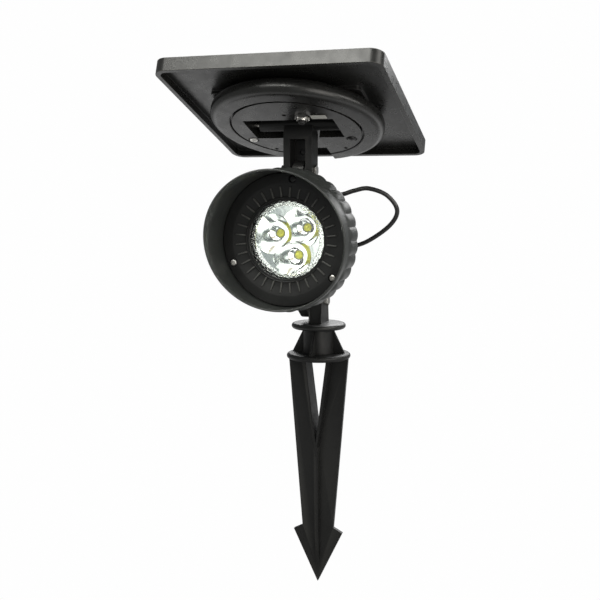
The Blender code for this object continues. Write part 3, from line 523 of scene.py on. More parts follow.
def make_materials():
    made = {key: moulded_plastic(*values) for key, values in MOULDED.items()}
    made.update({key: plated_steel(*values) for key, values in METALS.items()})
    made.update({key: coated(*values) for key, values in COATED.items()})
    made.update({
        "chrome": chrome_reflector(),
        "clear": clear_plastic("clear_lens", 0.015, CLEAR_IOR),
        "pebbled": pebbled_plastic(),
        "cover": clear_plastic("panel_glass", 0.05, 1.15),
        "rubber": rubber("black_rubber", (0.014, 0.014, 0.014), 0.62),
        "cable": rubber("cable_jacket", (0.012, 0.012, 0.012), 0.34),
        "cells": cell_silicon(),
    })
    return made


# ---- Shapes
def place(axis, u, v, w):
    if axis == "X":
        return (w, u, v)
    if axis == "Y":
        return (u, w, v)
    return (u, v, w)


def neighbours(count):
    """Each index round a closed loop with the one after it."""
    return [(i, (i + 1) % count) for i in range(count)]


def prism(outline, low, high, axis="Z"):
    bm = bmesh.new()
    bottom, top = ([bm.verts.new(place(axis, u, v, w)) for u, v in outline] for w in (low, high))
    bm.faces.new(bottom)
    bm.faces.new(list(reversed(top)))
    for i, j in neighbours(len(outline)):
        bm.faces.new((bottom[i], bottom[j], top[j], top[i]))
    return bm


def box(x_range, y_range, z_range):
    (x0, x1), (y0, y1) = x_range, y_range
    return prism([(x0, y0), (x1, y0), (x1, y1), (x0, y1)], *z_range)


def full_turn(count):
    return [2 * pi * i / count for i in range(count)]


def polar(radius, angle, centre=(0.0, 0.0)):
    return (centre[0] + radius * cos(angle), centre[1] + radius * sin(angle))


def circle_outline(radius, count, centre=(0.0, 0.0), turn=0.0):
    return [polar(radius, turn + angle, centre) for angle in full_turn(count)]


def cylinder(radius, low, high, axis="Z", count=48, centre=(0.0, 0.0), turn=0.0):
    return prism(circle_outline(radius, count, centre, turn), low, high, axis)


def rounded_outline(half_x, half_y, radius, steps=8, centre=(0.0, 0.0)):
    points = []
    for quarter in range(4):
        sx = 1 if quarter in (0, 3) else -1
        sy = 1 if quarter in (0, 1) else -1
        corner = (centre[0] + sx * (half_x - radius), centre[1] + sy * (half_y - radius))
        points += [polar(radius, pi / 2 * (quarter + i / steps), corner) for i in range(steps + 1)]
    return points


def hull_outline(points):
    """Convex outline around a set of points, counter-clockwise."""
    ordered = sorted(set((round(u, 7), round(v, 7)) for u, v in points))

    def half(sequence):
        chain = []
        for p in sequence:
            while len(chain) > 1:
                (ax, ay), (bx, by) = chain[-2], chain[-1]
                if (bx - ax) * (p[1] - ay) - (by - ay) * (p[0] - ax) > 0:
                    break
                chain.pop()
            chain.append(p)
        return chain[:-1]

    return half(ordered) + half(reversed(ordered))


def arc(centre, radius, start, end, steps):
    """Points along an arc, from and to angles in degrees."""
    return [polar(radius, radians(start + (end - start) * i / steps), centre) for i in range(steps + 1)]


def domed(flat, bulge, rise, crown):
    """Quarter ellipse from near the axis out to the side, its top towards -height."""
    angles = [pi / 2 * i / 6 for i in range(7)]
    return [(flat + bulge * sin(angle), -rise - crown * cos(angle)) for angle in angles]


def softened(points, radius, steps=3):
    """The outline with every corner rounded, no corner taking more than 45% of its shorter side."""
    result = []
    for i, j in neighbours(len(points)):
        here = Vector(points[i])
        back = Vector(points[i - 1]) - here
        ahead = Vector(points[j]) - here
        reach = min(radius, back.length * 0.45, ahead.length * 0.45)
        start = here + back.normalized() * reach
        end = here + ahead.normalized() * reach
        for k in range(steps + 1):
            t = k / steps
            p = start * (1 - t) ** 2 + here * 2 * t * (1 - t) + end * t ** 2
            result.append((p.x, p.y))
    return result


def spun(section, angles, axis="Z"):
    """Solid of rings: section(angle) gives the closed (radius, height) outline at that angle."""
    bm = bmesh.new()
    centre = {}
    rings = []
    for angle in angles:
        loop = []
        for k, (radius, height) in enumerate(section(angle)):
            if radius:
                loop.append(bm.verts.new(place(axis, *polar(radius, angle), height)))
                continue
            if k not in centre:
                centre[k] = bm.verts.new(place(axis, 0.0, 0.0, height))
            loop.append(centre[k])
        rings.append(loop)
    for a, b in zip(rings, rings[1:] + rings[:1]):
        for k, m in neighbours(len(a)):
            corners = list(dict.fromkeys((a[k], a[m], b[m], b[k])))
            if len(corners) > 2:
                bm.faces.new(corners)
    return bm


def ring_solid(outline, count=96, axis="Z"):
    return spun(lambda angle: outline, full_turn(count), axis)


def smooth(mesh):
    mesh.shade_smooth()
    mesh.set_sharp_from_angle(angle=SHARP_ANGLE)


def mesh_object(name, bm, mat, matrix=GROUND):
    bmesh.ops.remove_doubles(bm, verts=bm.verts, dist=WELD)
    bmesh.ops.recalc_face_normals(bm, faces=bm.faces)
    mesh = bpy.data.meshes.new(name)
    bm.to_mesh(mesh)
    bm.free()
    smooth(mesh)
    obj = scene_object(name, mesh)
    mesh.materials.append(mat)
    obj.matrix_world = matrix
    return obj


def combine(obj, bm, operation):
    tool = mesh_object("tool", bm, obj.data.materials[0], obj.matrix_world.copy())
    modifier = obj.modifiers.new("boolean", "BOOLEAN")
    modifier.operation = operation
    modifier.solver = "EXACT"
    modifier.object = tool
    bpy.context.view_layer.update()
    depsgraph = bpy.context.evaluated_depsgraph_get()
    mesh = bpy.data.meshes.new_from_object(obj.evaluated_get(depsgraph))
    obj.modifiers.clear()
    obj.data = mesh
    bpy.data.objects.remove(tool, do_unlink=True)
    cleaner = bmesh.new()
    cleaner.from_mesh(mesh)
    bmesh.ops.remove_doubles(cleaner, verts=cleaner.verts, dist=WELD)
    bmesh.ops.dissolve_degenerate(cleaner, dist=WELD, edges=cleaner.edges)
    cleaner.to_mesh(mesh)
    cleaner.free()
    smooth(mesh)


def merge(target, source):
    mesh = bpy.data.meshes.new("part")
    source.to_mesh(mesh)
    source.free()
    target.from_mesh(mesh)
    bpy.data.meshes.remove(mesh)


def rounded_edges(bm, edges, radius, segments):
    bmesh.ops.bevel(bm, geom=edges, offset=radius, segments=segments, affect="EDGES", profile=0.5)


def add(obj, bm):
    combine(obj, bm, "UNION")


def cut(obj, bm):
    combine(obj, bm, "DIFFERENCE")


def drill(obj, *args, **kwargs):
    cut(obj, cylinder(*args, **kwargs))


def finish_piece(obj, body, replaces=(), edge=0.0, segments=2):
    """Rounds the edges, rides the piece on its body and hides the imported parts it stands in for."""
    if edge:
        bevel = obj.modifiers.new("edges", "BEVEL")
        bevel.width = edge
        bevel.segments = segments
        bevel.limit_method = "ANGLE"
        bevel.angle_limit = BEVEL_ANGLE
        bevel.miter_outer = "MITER_ARC"
        normals = obj.modifiers.new("normals", "WEIGHTED_NORMAL")
        normals.keep_sharp = True
    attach(obj, body)
    if replaces:
        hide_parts(*replaces)
    return obj


def piece(name, bm, mat, matrix, body, replaces=(), edge=0.0):
    """A finished piece that needs no cutting."""
    return finish_piece(mesh_object(name, bm, mat, matrix), body, replaces, edge)


# ---- Lamp cable
def smooth_route(stops, count):
    points = [Vector(stop) for stop in stops]
    padded = [points[0] * 2 - points[1]] + points + [points[-1] * 2 - points[-2]]
    result = []
    spans = len(points) - 1
    for i in range(count):
        position = spans * i / (count - 1)
        span = min(int(position), spans - 1)
        t = position - span
        a, b, c, d = padded[span:span + 4]
        square = (2 * a - 5 * b + 4 * c - d) * t * t
        cube = (3 * b - a - 3 * c + d) * t ** 3
        result.append(0.5 * (2 * b + (c - a) * t + square + cube))
    return result


def make_cable(mats):
    """Round jacketed cable swept along its route."""
    route = smooth_route(CABLE_STOPS, CABLE_STEPS)
    bm = bmesh.new()
    rings = []
    up = Vector((1.0, 0.0, 0.0))
    for i, point in enumerate(route):
        ahead = (route[min(i + 1, len(route) - 1)] - route[max(i - 1, 0)]).normalized()
        up = (up - ahead * up.dot(ahead)).normalized()
        side = ahead.cross(up)
        loop = []
        for angle in full_turn(CABLE_SIDES):
            offset = (up * cos(angle) + side * sin(angle)) * CABLE_DIAMETER / 2
            loop.append(bm.verts.new(point + offset))
        rings.append(loop)
    for low, high in zip(rings, rings[1:]):
        for k, m in neighbours(CABLE_SIDES):
            bm.faces.new((low[k], low[m], high[m], high[k]))
    bm.faces.new(list(reversed(rings[0])))
    bm.faces.new(rings[-1])
    cable = mesh_object("lamp_lead", bm, mats["cable"])
    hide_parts("lamp_cable")
    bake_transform(cable)


def gland(name, length, matrix, mats, body, node):
    """Cable gland: collar and tapered nose with strain-relief rings."""
    bore = CABLE_DIAMETER / 2 + 0.0001
    outline = [(bore, 0.0), (bore, length), (0.0026, length)]
    for i in range(GLAND_RINGS):
        at = length * (0.92 - 0.36 * i / GLAND_RINGS)
        outline += [(0.0030 + 0.0002 * i, at), (0.0027 + 0.0002 * i, at - length * 0.06)]
    outline += [(0.0048, length * 0.50), (0.0052, length * 0.36), (0.0052, 0.0)]
    turned = ring_solid(softened(outline, 0.00025, 2), 48, "Y")
    piece(name, turned, mats["rubber"], matrix, body, [node])


def make_glands(mats):
    gland("lamp_lead_gland", 0.0072, LAMP @ moved(0.0, 0.0424, 0.0), mats, "lamp", "lamp_gland")
    gland("arm_lead_gland", 0.0042, ARM @ moved(0.0, FORK_HALF_Y + 0.0003, ARM_GLAND_RISE), mats, "arm",
          "arm_gland")


# ---- Lamp
def flute(angle):
    """Height of the scalloped skin at an angle, 0 in the grooves to 1 on the crowns."""
    return abs(sin(FLUTES / 2 * angle)) ** 0.8


def housing_outline(angle):
    bump = FLUTE_HEIGHT * flute(angle)
    outer = [(0.0063, HOUSING_RADIUS - 0.0010), (0.0066, HOUSING_RADIUS + bump * 0.10),
             (0.0076, HOUSING_RADIUS + bump * 0.55), (0.0092, HOUSING_RADIUS + bump * 0.90),
             (0.0125, HOUSING_RADIUS + bump), (0.0160, HOUSING_RADIUS - 0.0005 + bump),
             (0.0190, HOUSING_RADIUS - 0.0014 + bump), (0.0226, 0.0428 + bump),
             (0.0260, 0.0408 + bump), (0.0288, 0.0384 + bump * 0.9), (0.0315, 0.0348 + bump * 0.8),
             (0.0340, 0.0308 + bump * 0.6), (0.0360, 0.0266 + bump * 0.4), (0.0376, 0.0220 + bump * 0.15),
             (0.0385, 0.0180)]
    points = [(radius, height) for height, radius in outer]
    return points + [(0.0150, 0.0392), (0.0142, 0.0398), (0.0142, 0.0412), (0.0136, 0.0418), (0.0, 0.0420),
                     (0.0, 0.0225), (0.0275, 0.0225), (0.0275, 0.0063)]


def screw_centres():
    return [polar(BEZEL_SCREW_CIRCLE, BEZEL_SCREW_TURN + angle) for angle in full_turn(3)]


def make_housing(mats):
    fluted = spun(housing_outline, full_turn(FLUTES * FLUTE_STEPS), "Y")
    shell = mesh_object("lamp_body", fluted, mats["black"], LAMP)
    pivot = LOWER_PIVOT - LAMP_CENTRE
    lug = circle_outline(0.0135, 56, (pivot.y, pivot.z)) + circle_outline(0.0110, 32, (0.0340, -0.0240))
    add(shell, prism(hull_outline(lug), -0.0125, -0.0053, "X"))
    drill(shell, BOLT_HOLE, -0.03, 0.03, "X", 32, (pivot.y, pivot.z))
    upper = UPPER_PIVOT - LAMP_CENTRE
    tongue = circle_outline(0.0066, 48, (upper.y, upper.z))
    tongue += [(upper.y - 0.0066, 0.0310), (upper.y + 0.0090, 0.0240), (upper.y - 0.0050, 0.0285)]
    add(shell, prism(hull_outline(tongue), -0.0040, 0.0040, "X"))
    drill(shell, BOLT_HOLE, -0.02, 0.02, "X", 32, (upper.y, upper.z))
    drill(shell, 0.0028, 0.020, 0.046, "Y", 32)
    finish_piece(shell, "lamp", ["lamp_housing"])


def hood_outline(angle):
    """Hood wall at one angle: rounded lip, smooth front, scalloped grip behind, flange inside at the back."""
    inner = HOOD_RADIUS - HOOD_WALL
    front = HOOD_LENGTH + HOOD_SLOPE * (HOOD_RADIUS - HOOD_WALL / 2) * cos(angle - HOOD_LONG_SIDE)
    lip = HOOD_WALL / 2
    bump = FLUTE_HEIGHT * flute(angle)
    grip = HOOD_RADIUS + 0.0002
    points = [(HOOD_RADIUS - 0.0004, 0.0060), (grip + bump * 0.80, 0.0056), (grip + bump, 0.0045)]
    for depth, share in GRIP_FADE:
        points.append((grip + bump * share, GRIP_FRONT + depth * (0.55 + 0.45 * flute(angle))))
    points.append((HOOD_RADIUS, GRIP_FRONT - 0.0004))
    for share in (0.33, 0.66):
        points.append((HOOD_RADIUS, GRIP_FRONT - (front + GRIP_FRONT) * share))
    for i in range(7):
        turn = pi * i / 6
        across = inner + lip + (lip - 0.0001) * cos(turn)
        points.append((across, -front + lip - lip * sin(turn) * 0.9))
    for share in (0.75, 0.5, 0.25):
        points.append((inner, -front * share))
    points += [(inner, 0.0012), (inner, 0.0048), (0.0395, 0.0048), (0.0395, 0.0060)]
    return points


def make_hood(mats):
    shell = spun(hood_outline, full_turn(FLUTES * FLUTE_STEPS), "Y")
    # hood plastic: painted light inside the hood
    piece("hood_shell", shell, mats["hood"], LAMP, "lamp", ["lamp_hood"])


def bezel_floor(radius):
    """Depth of the sloping floor between the ribs."""
    share = (radius - 0.0294) / (0.0385 - 0.0294)
    return -0.0018 - 0.0016 * max(0.0, min(1.0, share))


def make_bezel(mats):
    """Ring with thin radial ribs on a dished floor and a stepped lip round the lens."""
    outline = [(BEZEL_RADIUS, 0.0045), (BEZEL_RADIUS, -0.0032), (BEZEL_RADIUS - 0.0004, -0.0035),
               (0.0392, -0.0035), (0.0380, -0.0033), (0.0340, bezel_floor(0.0340)),
               (0.0300, bezel_floor(0.0300)),
               (0.0297, -0.0023), (0.0292, -0.0024), (0.0289, -0.0022), (0.0288, -0.0013), (0.0282, -0.0013),
               (0.0281, -0.0016), (0.0276, -0.0016), (LENS_OPENING, -0.0013), (LENS_OPENING, -0.0003),
               (LENS_RADIUS + 0.0003, -0.0003), (LENS_RADIUS + 0.0003, 0.0045)]
    bezel = mesh_object("lens_bezel", ring_solid(softened(outline, 0.0002, 2), 160, "Y"), mats["black"], LAMP)
    for x, z in screw_centres():
        drill(bezel, 0.0017, -0.0060, 0.0080, "Y", 24, (x, z))
        drill(bezel, 0.0028, -0.0060, -0.0014, "Y", 40, (x, z))
    finish_piece(bezel, "lamp", ["bezel"])
    ribs = bmesh.new()
    for i in range(FLUTES):
        angle = 2 * pi * (i + 0.5) / FLUTES
        sides = []
        for side in (-1, 1):
            loop = []
            for radius, depth in RIB_PROFILE:
                half = side * (RIB_TOP_HALF if depth < -0.0030 else RIB_HALF)
                u = radius * cos(angle) - half * sin(angle)
                v = radius * sin(angle) + half * cos(angle)
                loop.append(ribs.verts.new((u, depth, v)))
            sides.append(loop)
        low, high = sides
        ribs.faces.new(low)
        ribs.faces.new(list(reversed(high)))
        for k, m in neighbours(len(RIB_PROFILE)):
            ribs.faces.new((low[k], high[k], high[m], low[m]))
    # rib plastic: painted highlight on the ribs
    piece("bezel_ribs", ribs, mats["rib"], LAMP, "lamp", edge=0.0001)


def cross_screw(name, radius, height, shank, matrix, mat, body, node, slot_turn):
    """Pan-head screw with a cross recess. The head stands on z = 0 and points to -Z."""
    head = [(0.0, -height)] + domed(radius * 0.45, radius * 0.55, height * 0.30, height * 0.70)
    head += [(radius, 0.0), (shank, 0.0), (shank, 0.0065), (0.0, 0.0070)]
    screw = mesh_object(name, ring_solid(head, 40), mat, matrix)
    reach, half = radius * 0.55, radius * 0.10
    bar = softened([(-reach, -half), (reach, -half), (reach, half), (-reach, half)], radius * 0.08)
    for turn in (0.0, pi / 2):
        recess = prism(bar, -height * 2, -height * 0.45)
        rotation = Matrix.Rotation(turn + slot_turn, 3, "Z")
        bmesh.ops.rotate(recess, verts=recess.verts, cent=(0, 0, 0), matrix=rotation)
        cut(screw, recess)
    finish_piece(screw, body, [node], edge=radius * 0.03)


def make_bezel_screws(mats):
    turn = Matrix.Rotation(-pi / 2, 4, "X")
    # Identical screws in three tones: painted shade on the top one, painted light on the left one, plain
    # steel on the right one
    screw_tones = ("blackened", "frosted", "steel")
    for number, ((x, z), screw_tone) in enumerate(zip(screw_centres(), screw_tones), start=1):
        matrix = LAMP @ moved(x, -0.0017, z) @ turn
        cross_screw("lens_screw_%d" % number, 0.0025, 0.0016, 0.0013, matrix, mats[screw_tone], "lamp",
                    "bezel_screw_%d" % number, 0.5 * number)


def make_optics(mats):
    dome = [(0.0, -0.0007), (0.0080, -0.00062), (0.0150, -0.0004), (0.0210, -0.0001), (0.0236, 0.0001),
            (0.0236, 0.0012), (0.0150, 0.0012), (0.0, 0.0012)]
    piece("lens_disc", ring_solid(dome, 96, "Y"), mats["clear"], LAMP, "lamp", ["lens"])
    rim = [(0.0236, 0.0001), (0.0256, 0.0000), (0.0268, 0.0002), (LENS_RADIUS, 0.0006), (LENS_RADIUS, 0.0022),
           (0.0236, 0.0012)]
    piece("lens_rim", ring_solid(rim, 160, "Y"), mats["pebbled"], LAMP, "lamp")
    body = [(0.0, 0.0041), (0.0290, 0.0041), (0.0290, 0.0056), (0.0258, 0.0056), (0.0245, 0.0190),
            (0.0, 0.0190)]
    cup = [(0.0, 0.0260), (CUP_THROAT, 0.0260), (CUP_THROAT, 0.0186)]
    for step in range(1, CUP_STEPS + 1):
        depth = step / CUP_STEPS
        cup.append((CUP_THROAT + (CUP_RADIUS - CUP_THROAT) * sqrt(depth), 0.0186 - 0.0147 * depth))
    cup += [(CUP_RADIUS, 0.0020), (0.0, 0.0020)]
    chip = [(0.0, 0.0170), (0.0012, 0.0172), (0.0021, 0.0179), (0.0025, 0.0188), (0.0028, 0.0190),
            (0.0028, 0.0199), (0.0, 0.0199)]
    reflector = mesh_object("triple_reflector", ring_solid(body, 96, "Y"), mats["chrome"], LAMP)
    for i in range(3):
        x, z = polar(CUP_OFFSET, radians(CUP_TURN + 120 * i))
        hollow = ring_solid(cup, 56, "Y")
        bmesh.ops.translate(hollow, verts=hollow.verts, vec=(x, 0.0, z))
        cut(reflector, hollow)
        piece("led_chip_%d" % (i + 1), ring_solid(chip, 32, "Y"), mats["phosphor"],
              LAMP @ moved(x, 0.0, z), "lamp", ["led_%d" % (i + 1)])
    finish_piece(reflector, "lamp", ["reflector"])


# ---- Pivots, post and spike
def hex_piece(name, low, high, mat, matrix):
    """Hexagon along X with the corners of its far face turned off."""
    obj = mesh_object(name, cylinder(HEX_RADIUS, low, high, "X", 6, turn=radians(30)), mat, matrix)
    outside = HEX_RADIUS + 0.001
    envelope = [(0.0, low - 0.001), (outside, low - 0.001), (outside, high - HEX_CHAMFER),
                (HEX_RADIUS * 0.86, high + 0.0001), (0.0, high + 0.0001)]
    combine(obj, ring_solid(envelope, 48, "X"), "INTERSECT")
    return obj


def bolt_set(prefix, centre, head_x, head_height, washer_x, nut_x, body, mats):
    """Hex bolt along X with its nut, and a washer where washer_x says."""
    matrix = moved(*centre)
    head = hex_piece(prefix + "_bolt_head", head_x, head_x + head_height, mats["bright"], matrix)
    add(head, cylinder(BOLT_RADIUS, nut_x - 0.0045, head_x + 0.0005, "X", 32))
    finish_piece(head, body, [prefix + "_bolt"], edge=HEX_EDGE)
    nut = hex_piece(prefix + "_hex_nut", -nut_x, -nut_x + NUT_HEIGHT, mats["steel"],
                    matrix @ Matrix.Rotation(pi, 4, "Z"))
    drill(nut, 0.0022, -0.03, 0.03, "X", 32)
    finish_piece(nut, body, [prefix + "_nut"], edge=HEX_EDGE)
    if washer_x is not None:
        outline = [(0.0023, washer_x - WASHER_THICKNESS), (0.0044, washer_x - WASHER_THICKNESS),
                   (0.0044, washer_x), (0.0023, washer_x)]
        ring = ring_solid(softened(outline, 0.0001, 2), 48, "X")
        piece(prefix + "_flat_washer", ring, mats["steel"], matrix, body,
              [prefix + "_washer"])


def make_bolts(mats):
    bolt_set("lower_pivot", LOWER_PIVOT, 0.0053, 0.0028, -0.0128, -0.0137, "post", mats)
    fork_side = FORK_HALF_X + 0.0003
    bolt_set("upper_pivot", UPPER_PIVOT, fork_side, 0.0014, None, -fork_side, "arm", mats)


def make_post(mats):
    flange = [(0.0, 0.0064), (0.0069, 0.0064), (0.0075, 0.0070), (0.0075, FLANGE_BOTTOM)]
    half = (FLANGE_TOP - FLANGE_BOTTOM) / 2
    flange += arc((FLANGE_RADIUS - half, (FLANGE_BOTTOM + FLANGE_TOP) / 2), half, -90, 90, 12)
    flange += [(0.0115, FLANGE_TOP + 0.0002), (0.0, FLANGE_TOP + 0.0003)]
    post = mesh_object("post_column", ring_solid(flange, 96), mats["black"])
    pivot_y, pivot_z = LOWER_PIVOT.y, LOWER_PIVOT.z
    foot = FLANGE_TOP - 0.0012
    outline = arc((pivot_y, pivot_z), POST_HALF_Y, 0, 180, 32)
    outline += [(-POST_HALF_Y - 0.0002, FLANGE_TOP + 0.004), (-POST_HALF_Y - 0.0020, foot),
                (POST_HALF_Y + 0.0020, foot), (POST_HALF_Y + 0.0002, FLANGE_TOP + 0.004)]
    upright = prism(outline, -POST_HALF_X, POST_HALF_X, "X")
    edges = [e for e in upright.edges if abs(e.verts[0].co.x - e.verts[1].co.x) < 1e-6
             and min(e.verts[0].co.z, e.verts[1].co.z) > FLANGE_TOP]
    rounded_edges(upright, edges, 0.0032, 7)
    add(post, upright)
    drill(post, BOLT_HOLE, -0.02, 0.02, "X", 32, (pivot_y, pivot_z))
    finish_piece(post, "post", ["post"], edge=0.0005, segments=3)


def make_spike(mats):
    half = DISC_HEIGHT / 2
    profile = [(0.0, 0.0)] + arc((DISC_RADIUS - half, half), half, -90, 90, 12)
    profile += [(SOCKET_RADIUS + 0.0006, DISC_HEIGHT), (SOCKET_RADIUS, SOCKET_TOP - 0.0006),
                (SOCKET_RADIUS - 0.0006, SOCKET_TOP), (0.0, SOCKET_TOP)]
    spike = mesh_object("spike_body", ring_solid(profile, 96), mats["spike"])
    gusset = [(0.0080, DISC_HEIGHT - 0.0008), (0.0208, DISC_HEIGHT - 0.0008), (0.0208, DISC_HEIGHT + 0.0006),
              (SOCKET_RADIUS + 0.0004, SOCKET_TOP - 0.0006), (0.0080, SOCKET_TOP - 0.0006)]
    for sign in (1, -1):
        side = [(sign * u, v) for u, v in gusset]
        for axis in ("Y", "X"):
            add(spike, prism(side, -GUSSET_HALF, GUSSET_HALF, axis))
    drill(spike, 0.0078, 0.0060, SOCKET_TOP + 0.002, count=64)
    top, gap_top = 0.0012, -0.0030
    blade = [(-0.0240, top), (-0.0127, -0.1352), (-0.0200, BARB_Z), (0.0, -0.1805), (0.0200, BARB_Z),
             (0.0127, -0.1352), (0.0240, top), (GAP_HALF, top), (GAP_HALF, gap_top), (0.0, GAP_APEX),
             (-GAP_HALF, gap_top), (-GAP_HALF, top)]
    add(spike, prism(blade, -BLADE_HALF, BLADE_HALF, "Y"))
    slant = 0.0030 / cos(atan(GAP_HALF / -GAP_APEX))
    for sign in (1, -1):
        outer = sign * (GAP_HALF + slant)
        leg = [(sign * GAP_HALF, top), (sign * GAP_HALF, gap_top), (0.0, GAP_APEX), (0.0, GAP_APEX - 0.0120),
               (outer, gap_top), (outer, top)]
        add(spike, prism(leg, -LEG_HALF, LEG_HALF, "Y"))
    keel = [(-LEG_HALF, GAP_APEX - 0.0040), (-0.0050, BARB_Z), (0.0, -0.1770), (0.0050, BARB_Z),
            (LEG_HALF, GAP_APEX - 0.0040)]
    add(spike, prism(keel, -BLADE_HALF, BLADE_HALF, "X"))
    finish_piece(spike, "spike", ["ground_spike"], edge=0.00045, segments=3)


# ---- Arm
def make_arm(mats):
    top = PANEL_HINGE.z - UPPER_PIVOT.z
    outline = arc((0.0, 0.0), FORK_HALF_Y, 180, 360, 32)
    outline += [(FORK_HALF_Y, top - 0.0070), (BARREL_RADIUS - 0.0004, top), (-BARREL_RADIUS + 0.0004, top),
                (-FORK_HALF_Y, top - 0.0070)]
    arm = mesh_object("arm_fork", prism(outline, -FORK_HALF_X, FORK_HALF_X, "X"), mats["black"], ARM)
    add(arm, cylinder(BARREL_RADIUS, -BARREL_HALF, BARREL_HALF, "X", 72, (0.0, top), radians(2)))
    slot_top = FORK_SLOT_TOP - UPPER_PIVOT.z
    pocket_top = FORK_POCKET_TOP - UPPER_PIVOT.z
    cut(arm, box((-FORK_INNER, FORK_INNER), (-0.02, 0.02), (-0.02, slot_top)))
    cut(arm, box((-FORK_INNER, FORK_INNER), (-0.02, 0.0046), (slot_top - 0.001, pocket_top)))
    drill(arm, BOLT_HOLE, -0.02, 0.02, "X", 32, turn=0.1)
    drill(arm, HINGE_PIN_HOLE, -0.05, 0.05, "X", 32, (0.0, top), 0.05)
    drill(arm, CABLE_DIAMETER / 2 + 0.0004, 0.0, 0.02, "Y", 32, (0.0, ARM_GLAND_RISE))
    finish_piece(arm, "arm", ["panel_arm"], edge=0.0005, segments=3)
    for sign, side in ((-1, "left"), (1, "right")):
        near, far = sorted((sign * 0.0043, sign * 0.0054))
        outline = softened([(0.0024, near), (0.0052, near), (0.0052, far), (0.0024, far)], 0.0002, 2)
        piece("fork_washer_" + side, ring_solid(outline, 48, "X"), mats["rubber"], ARM, "arm",
              ["fork_spacer_" + side])


# ---- Panel head
def make_tray(mats):
    body = prism(rounded_outline(PANEL_HALF, PANEL_HALF, TRAY_CORNER, 12), 0.0, TRAY_HEIGHT)
    edges = [e for e in body.edges if abs(e.verts[0].co.z - e.verts[1].co.z) < 1e-6]
    rounded_edges(body, edges, 0.0012, 5)
    tray = mesh_object("tray_shell", body, mats["satin"], PANEL)
    inside = PANEL_HALF - TRAY_WALL
    cut(tray, prism(rounded_outline(inside, inside, TRAY_CORNER - TRAY_WALL, 10), -0.01, PLATE_BOTTOM))
    top = PANEL_HALF - 0.0030
    cut(tray, prism(rounded_outline(top, top, TRAY_CORNER - 0.0030, 10), PLATE_TOP, 0.02))
    base = rounded_outline(BASE_HALF_X, BASE_HALF_Y, 0.004, 8)
    add(tray, prism(base, BOX_TOP + 0.0003, PLATE_BOTTOM + 0.0005))
    finish_piece(tray, "panel", ["panel_tray"], edge=0.0004, segments=3)


def make_solar_sheet(mats):
    """Backing sheet with strips of cells, their silver ribbons and a clear cover."""
    sheet = PANEL_HALF - 0.0033
    outline = rounded_outline(sheet, sheet, TRAY_CORNER - 0.0030, 8)
    backing = prism(outline, PLATE_TOP + 0.0002, PLATE_TOP + 0.0006)
    piece("cell_backing", backing, mats["backing"], PANEL, "panel", ["solar_cells"])
    cells = bmesh.new()
    ribbons = bmesh.new()
    field = sheet - CELL_MARGIN
    width = (2 * field - (CELL_COLUMNS - 1) * CELL_GAP) / CELL_COLUMNS
    height = (2 * field - (CELL_ROWS - 1) * CELL_GAP) / CELL_ROWS
    for i in range(CELL_COLUMNS):
        x = -sheet + CELL_MARGIN + width / 2 + i * (width + CELL_GAP)
        for k in range(CELL_ROWS):
            y = -sheet + CELL_MARGIN + height / 2 + k * (height + CELL_GAP)
            tile = rounded_outline(width / 2, height / 2, 0.0006, 3, (x, y))
            merge(cells, prism(tile, PLATE_TOP + 0.0006, PLATE_TOP + 0.0008))
        for side in (-0.25, 0.25):
            at = x + side * width
            merge(ribbons, box((at - 0.0006, at + 0.0006), (-sheet + CELL_MARGIN, field),
                               (PLATE_TOP + 0.00075, PLATE_TOP + 0.00090)))
    piece("cell_tiles", cells, mats["cells"], PANEL, "panel")
    piece("cell_ribbons", ribbons, mats["silver"], PANEL, "panel")
    glass = prism(outline, PLATE_TOP + 0.0012, TRAY_HEIGHT - 0.0004)
    piece("panel_glass", glass, mats["cover"], PANEL, "panel", ["solar_glass"], edge=0.0003)


def make_battery_box(mats):
    profile = [(RING_INNER, BOX_FACE + 0.0004), (RING_INNER + 0.0004, BOX_FACE), (0.0500, BOX_FACE),
               (0.0560, BOX_FACE + 0.0001)]
    profile += arc((0.0562, BOX_FACE + 0.0058), 0.0058, -78, 0, 12)
    profile += arc((0.0565, BOX_TOP - 0.0055), 0.0055, 0, 90, 10)
    profile += [(0.0, BOX_TOP), (0.0, BOX_ROOF), (0.0580, BOX_ROOF), (0.0580, SEAT_TOP), (0.0430, SEAT_TOP),
                (0.0430, SEAT_BOTTOM), (RING_INNER, SEAT_BOTTOM)]
    shell = mesh_object("box_shell", ring_solid(profile, 128), mats["satin"], PANEL)
    room = POCKET_WALL + 0.0005
    cut(shell, box((RECESS_LEFT - room, RECESS_RIGHT + room), (RECESS_NEAR - room, RECESS_FAR + room),
                   (BOX_ROOF - 0.002, BOX_TOP + 0.002)))
    for sign in (1, -1):
        side = sorted((sign * SLOT_HALF_X, sign * (SLOT_HALF_X + 0.0016)))
        add(shell, box(side, (0.0433, 0.0590), (SEAT_BOTTOM - 0.0002, BOX_TOP - 0.0010)))
    cut(shell, box((-SLOT_HALF_X, SLOT_HALF_X), (0.030, 0.08), (-0.02, BOX_ROOF)))
    finish_piece(shell, "panel", ["battery_box"], edge=0.0003)


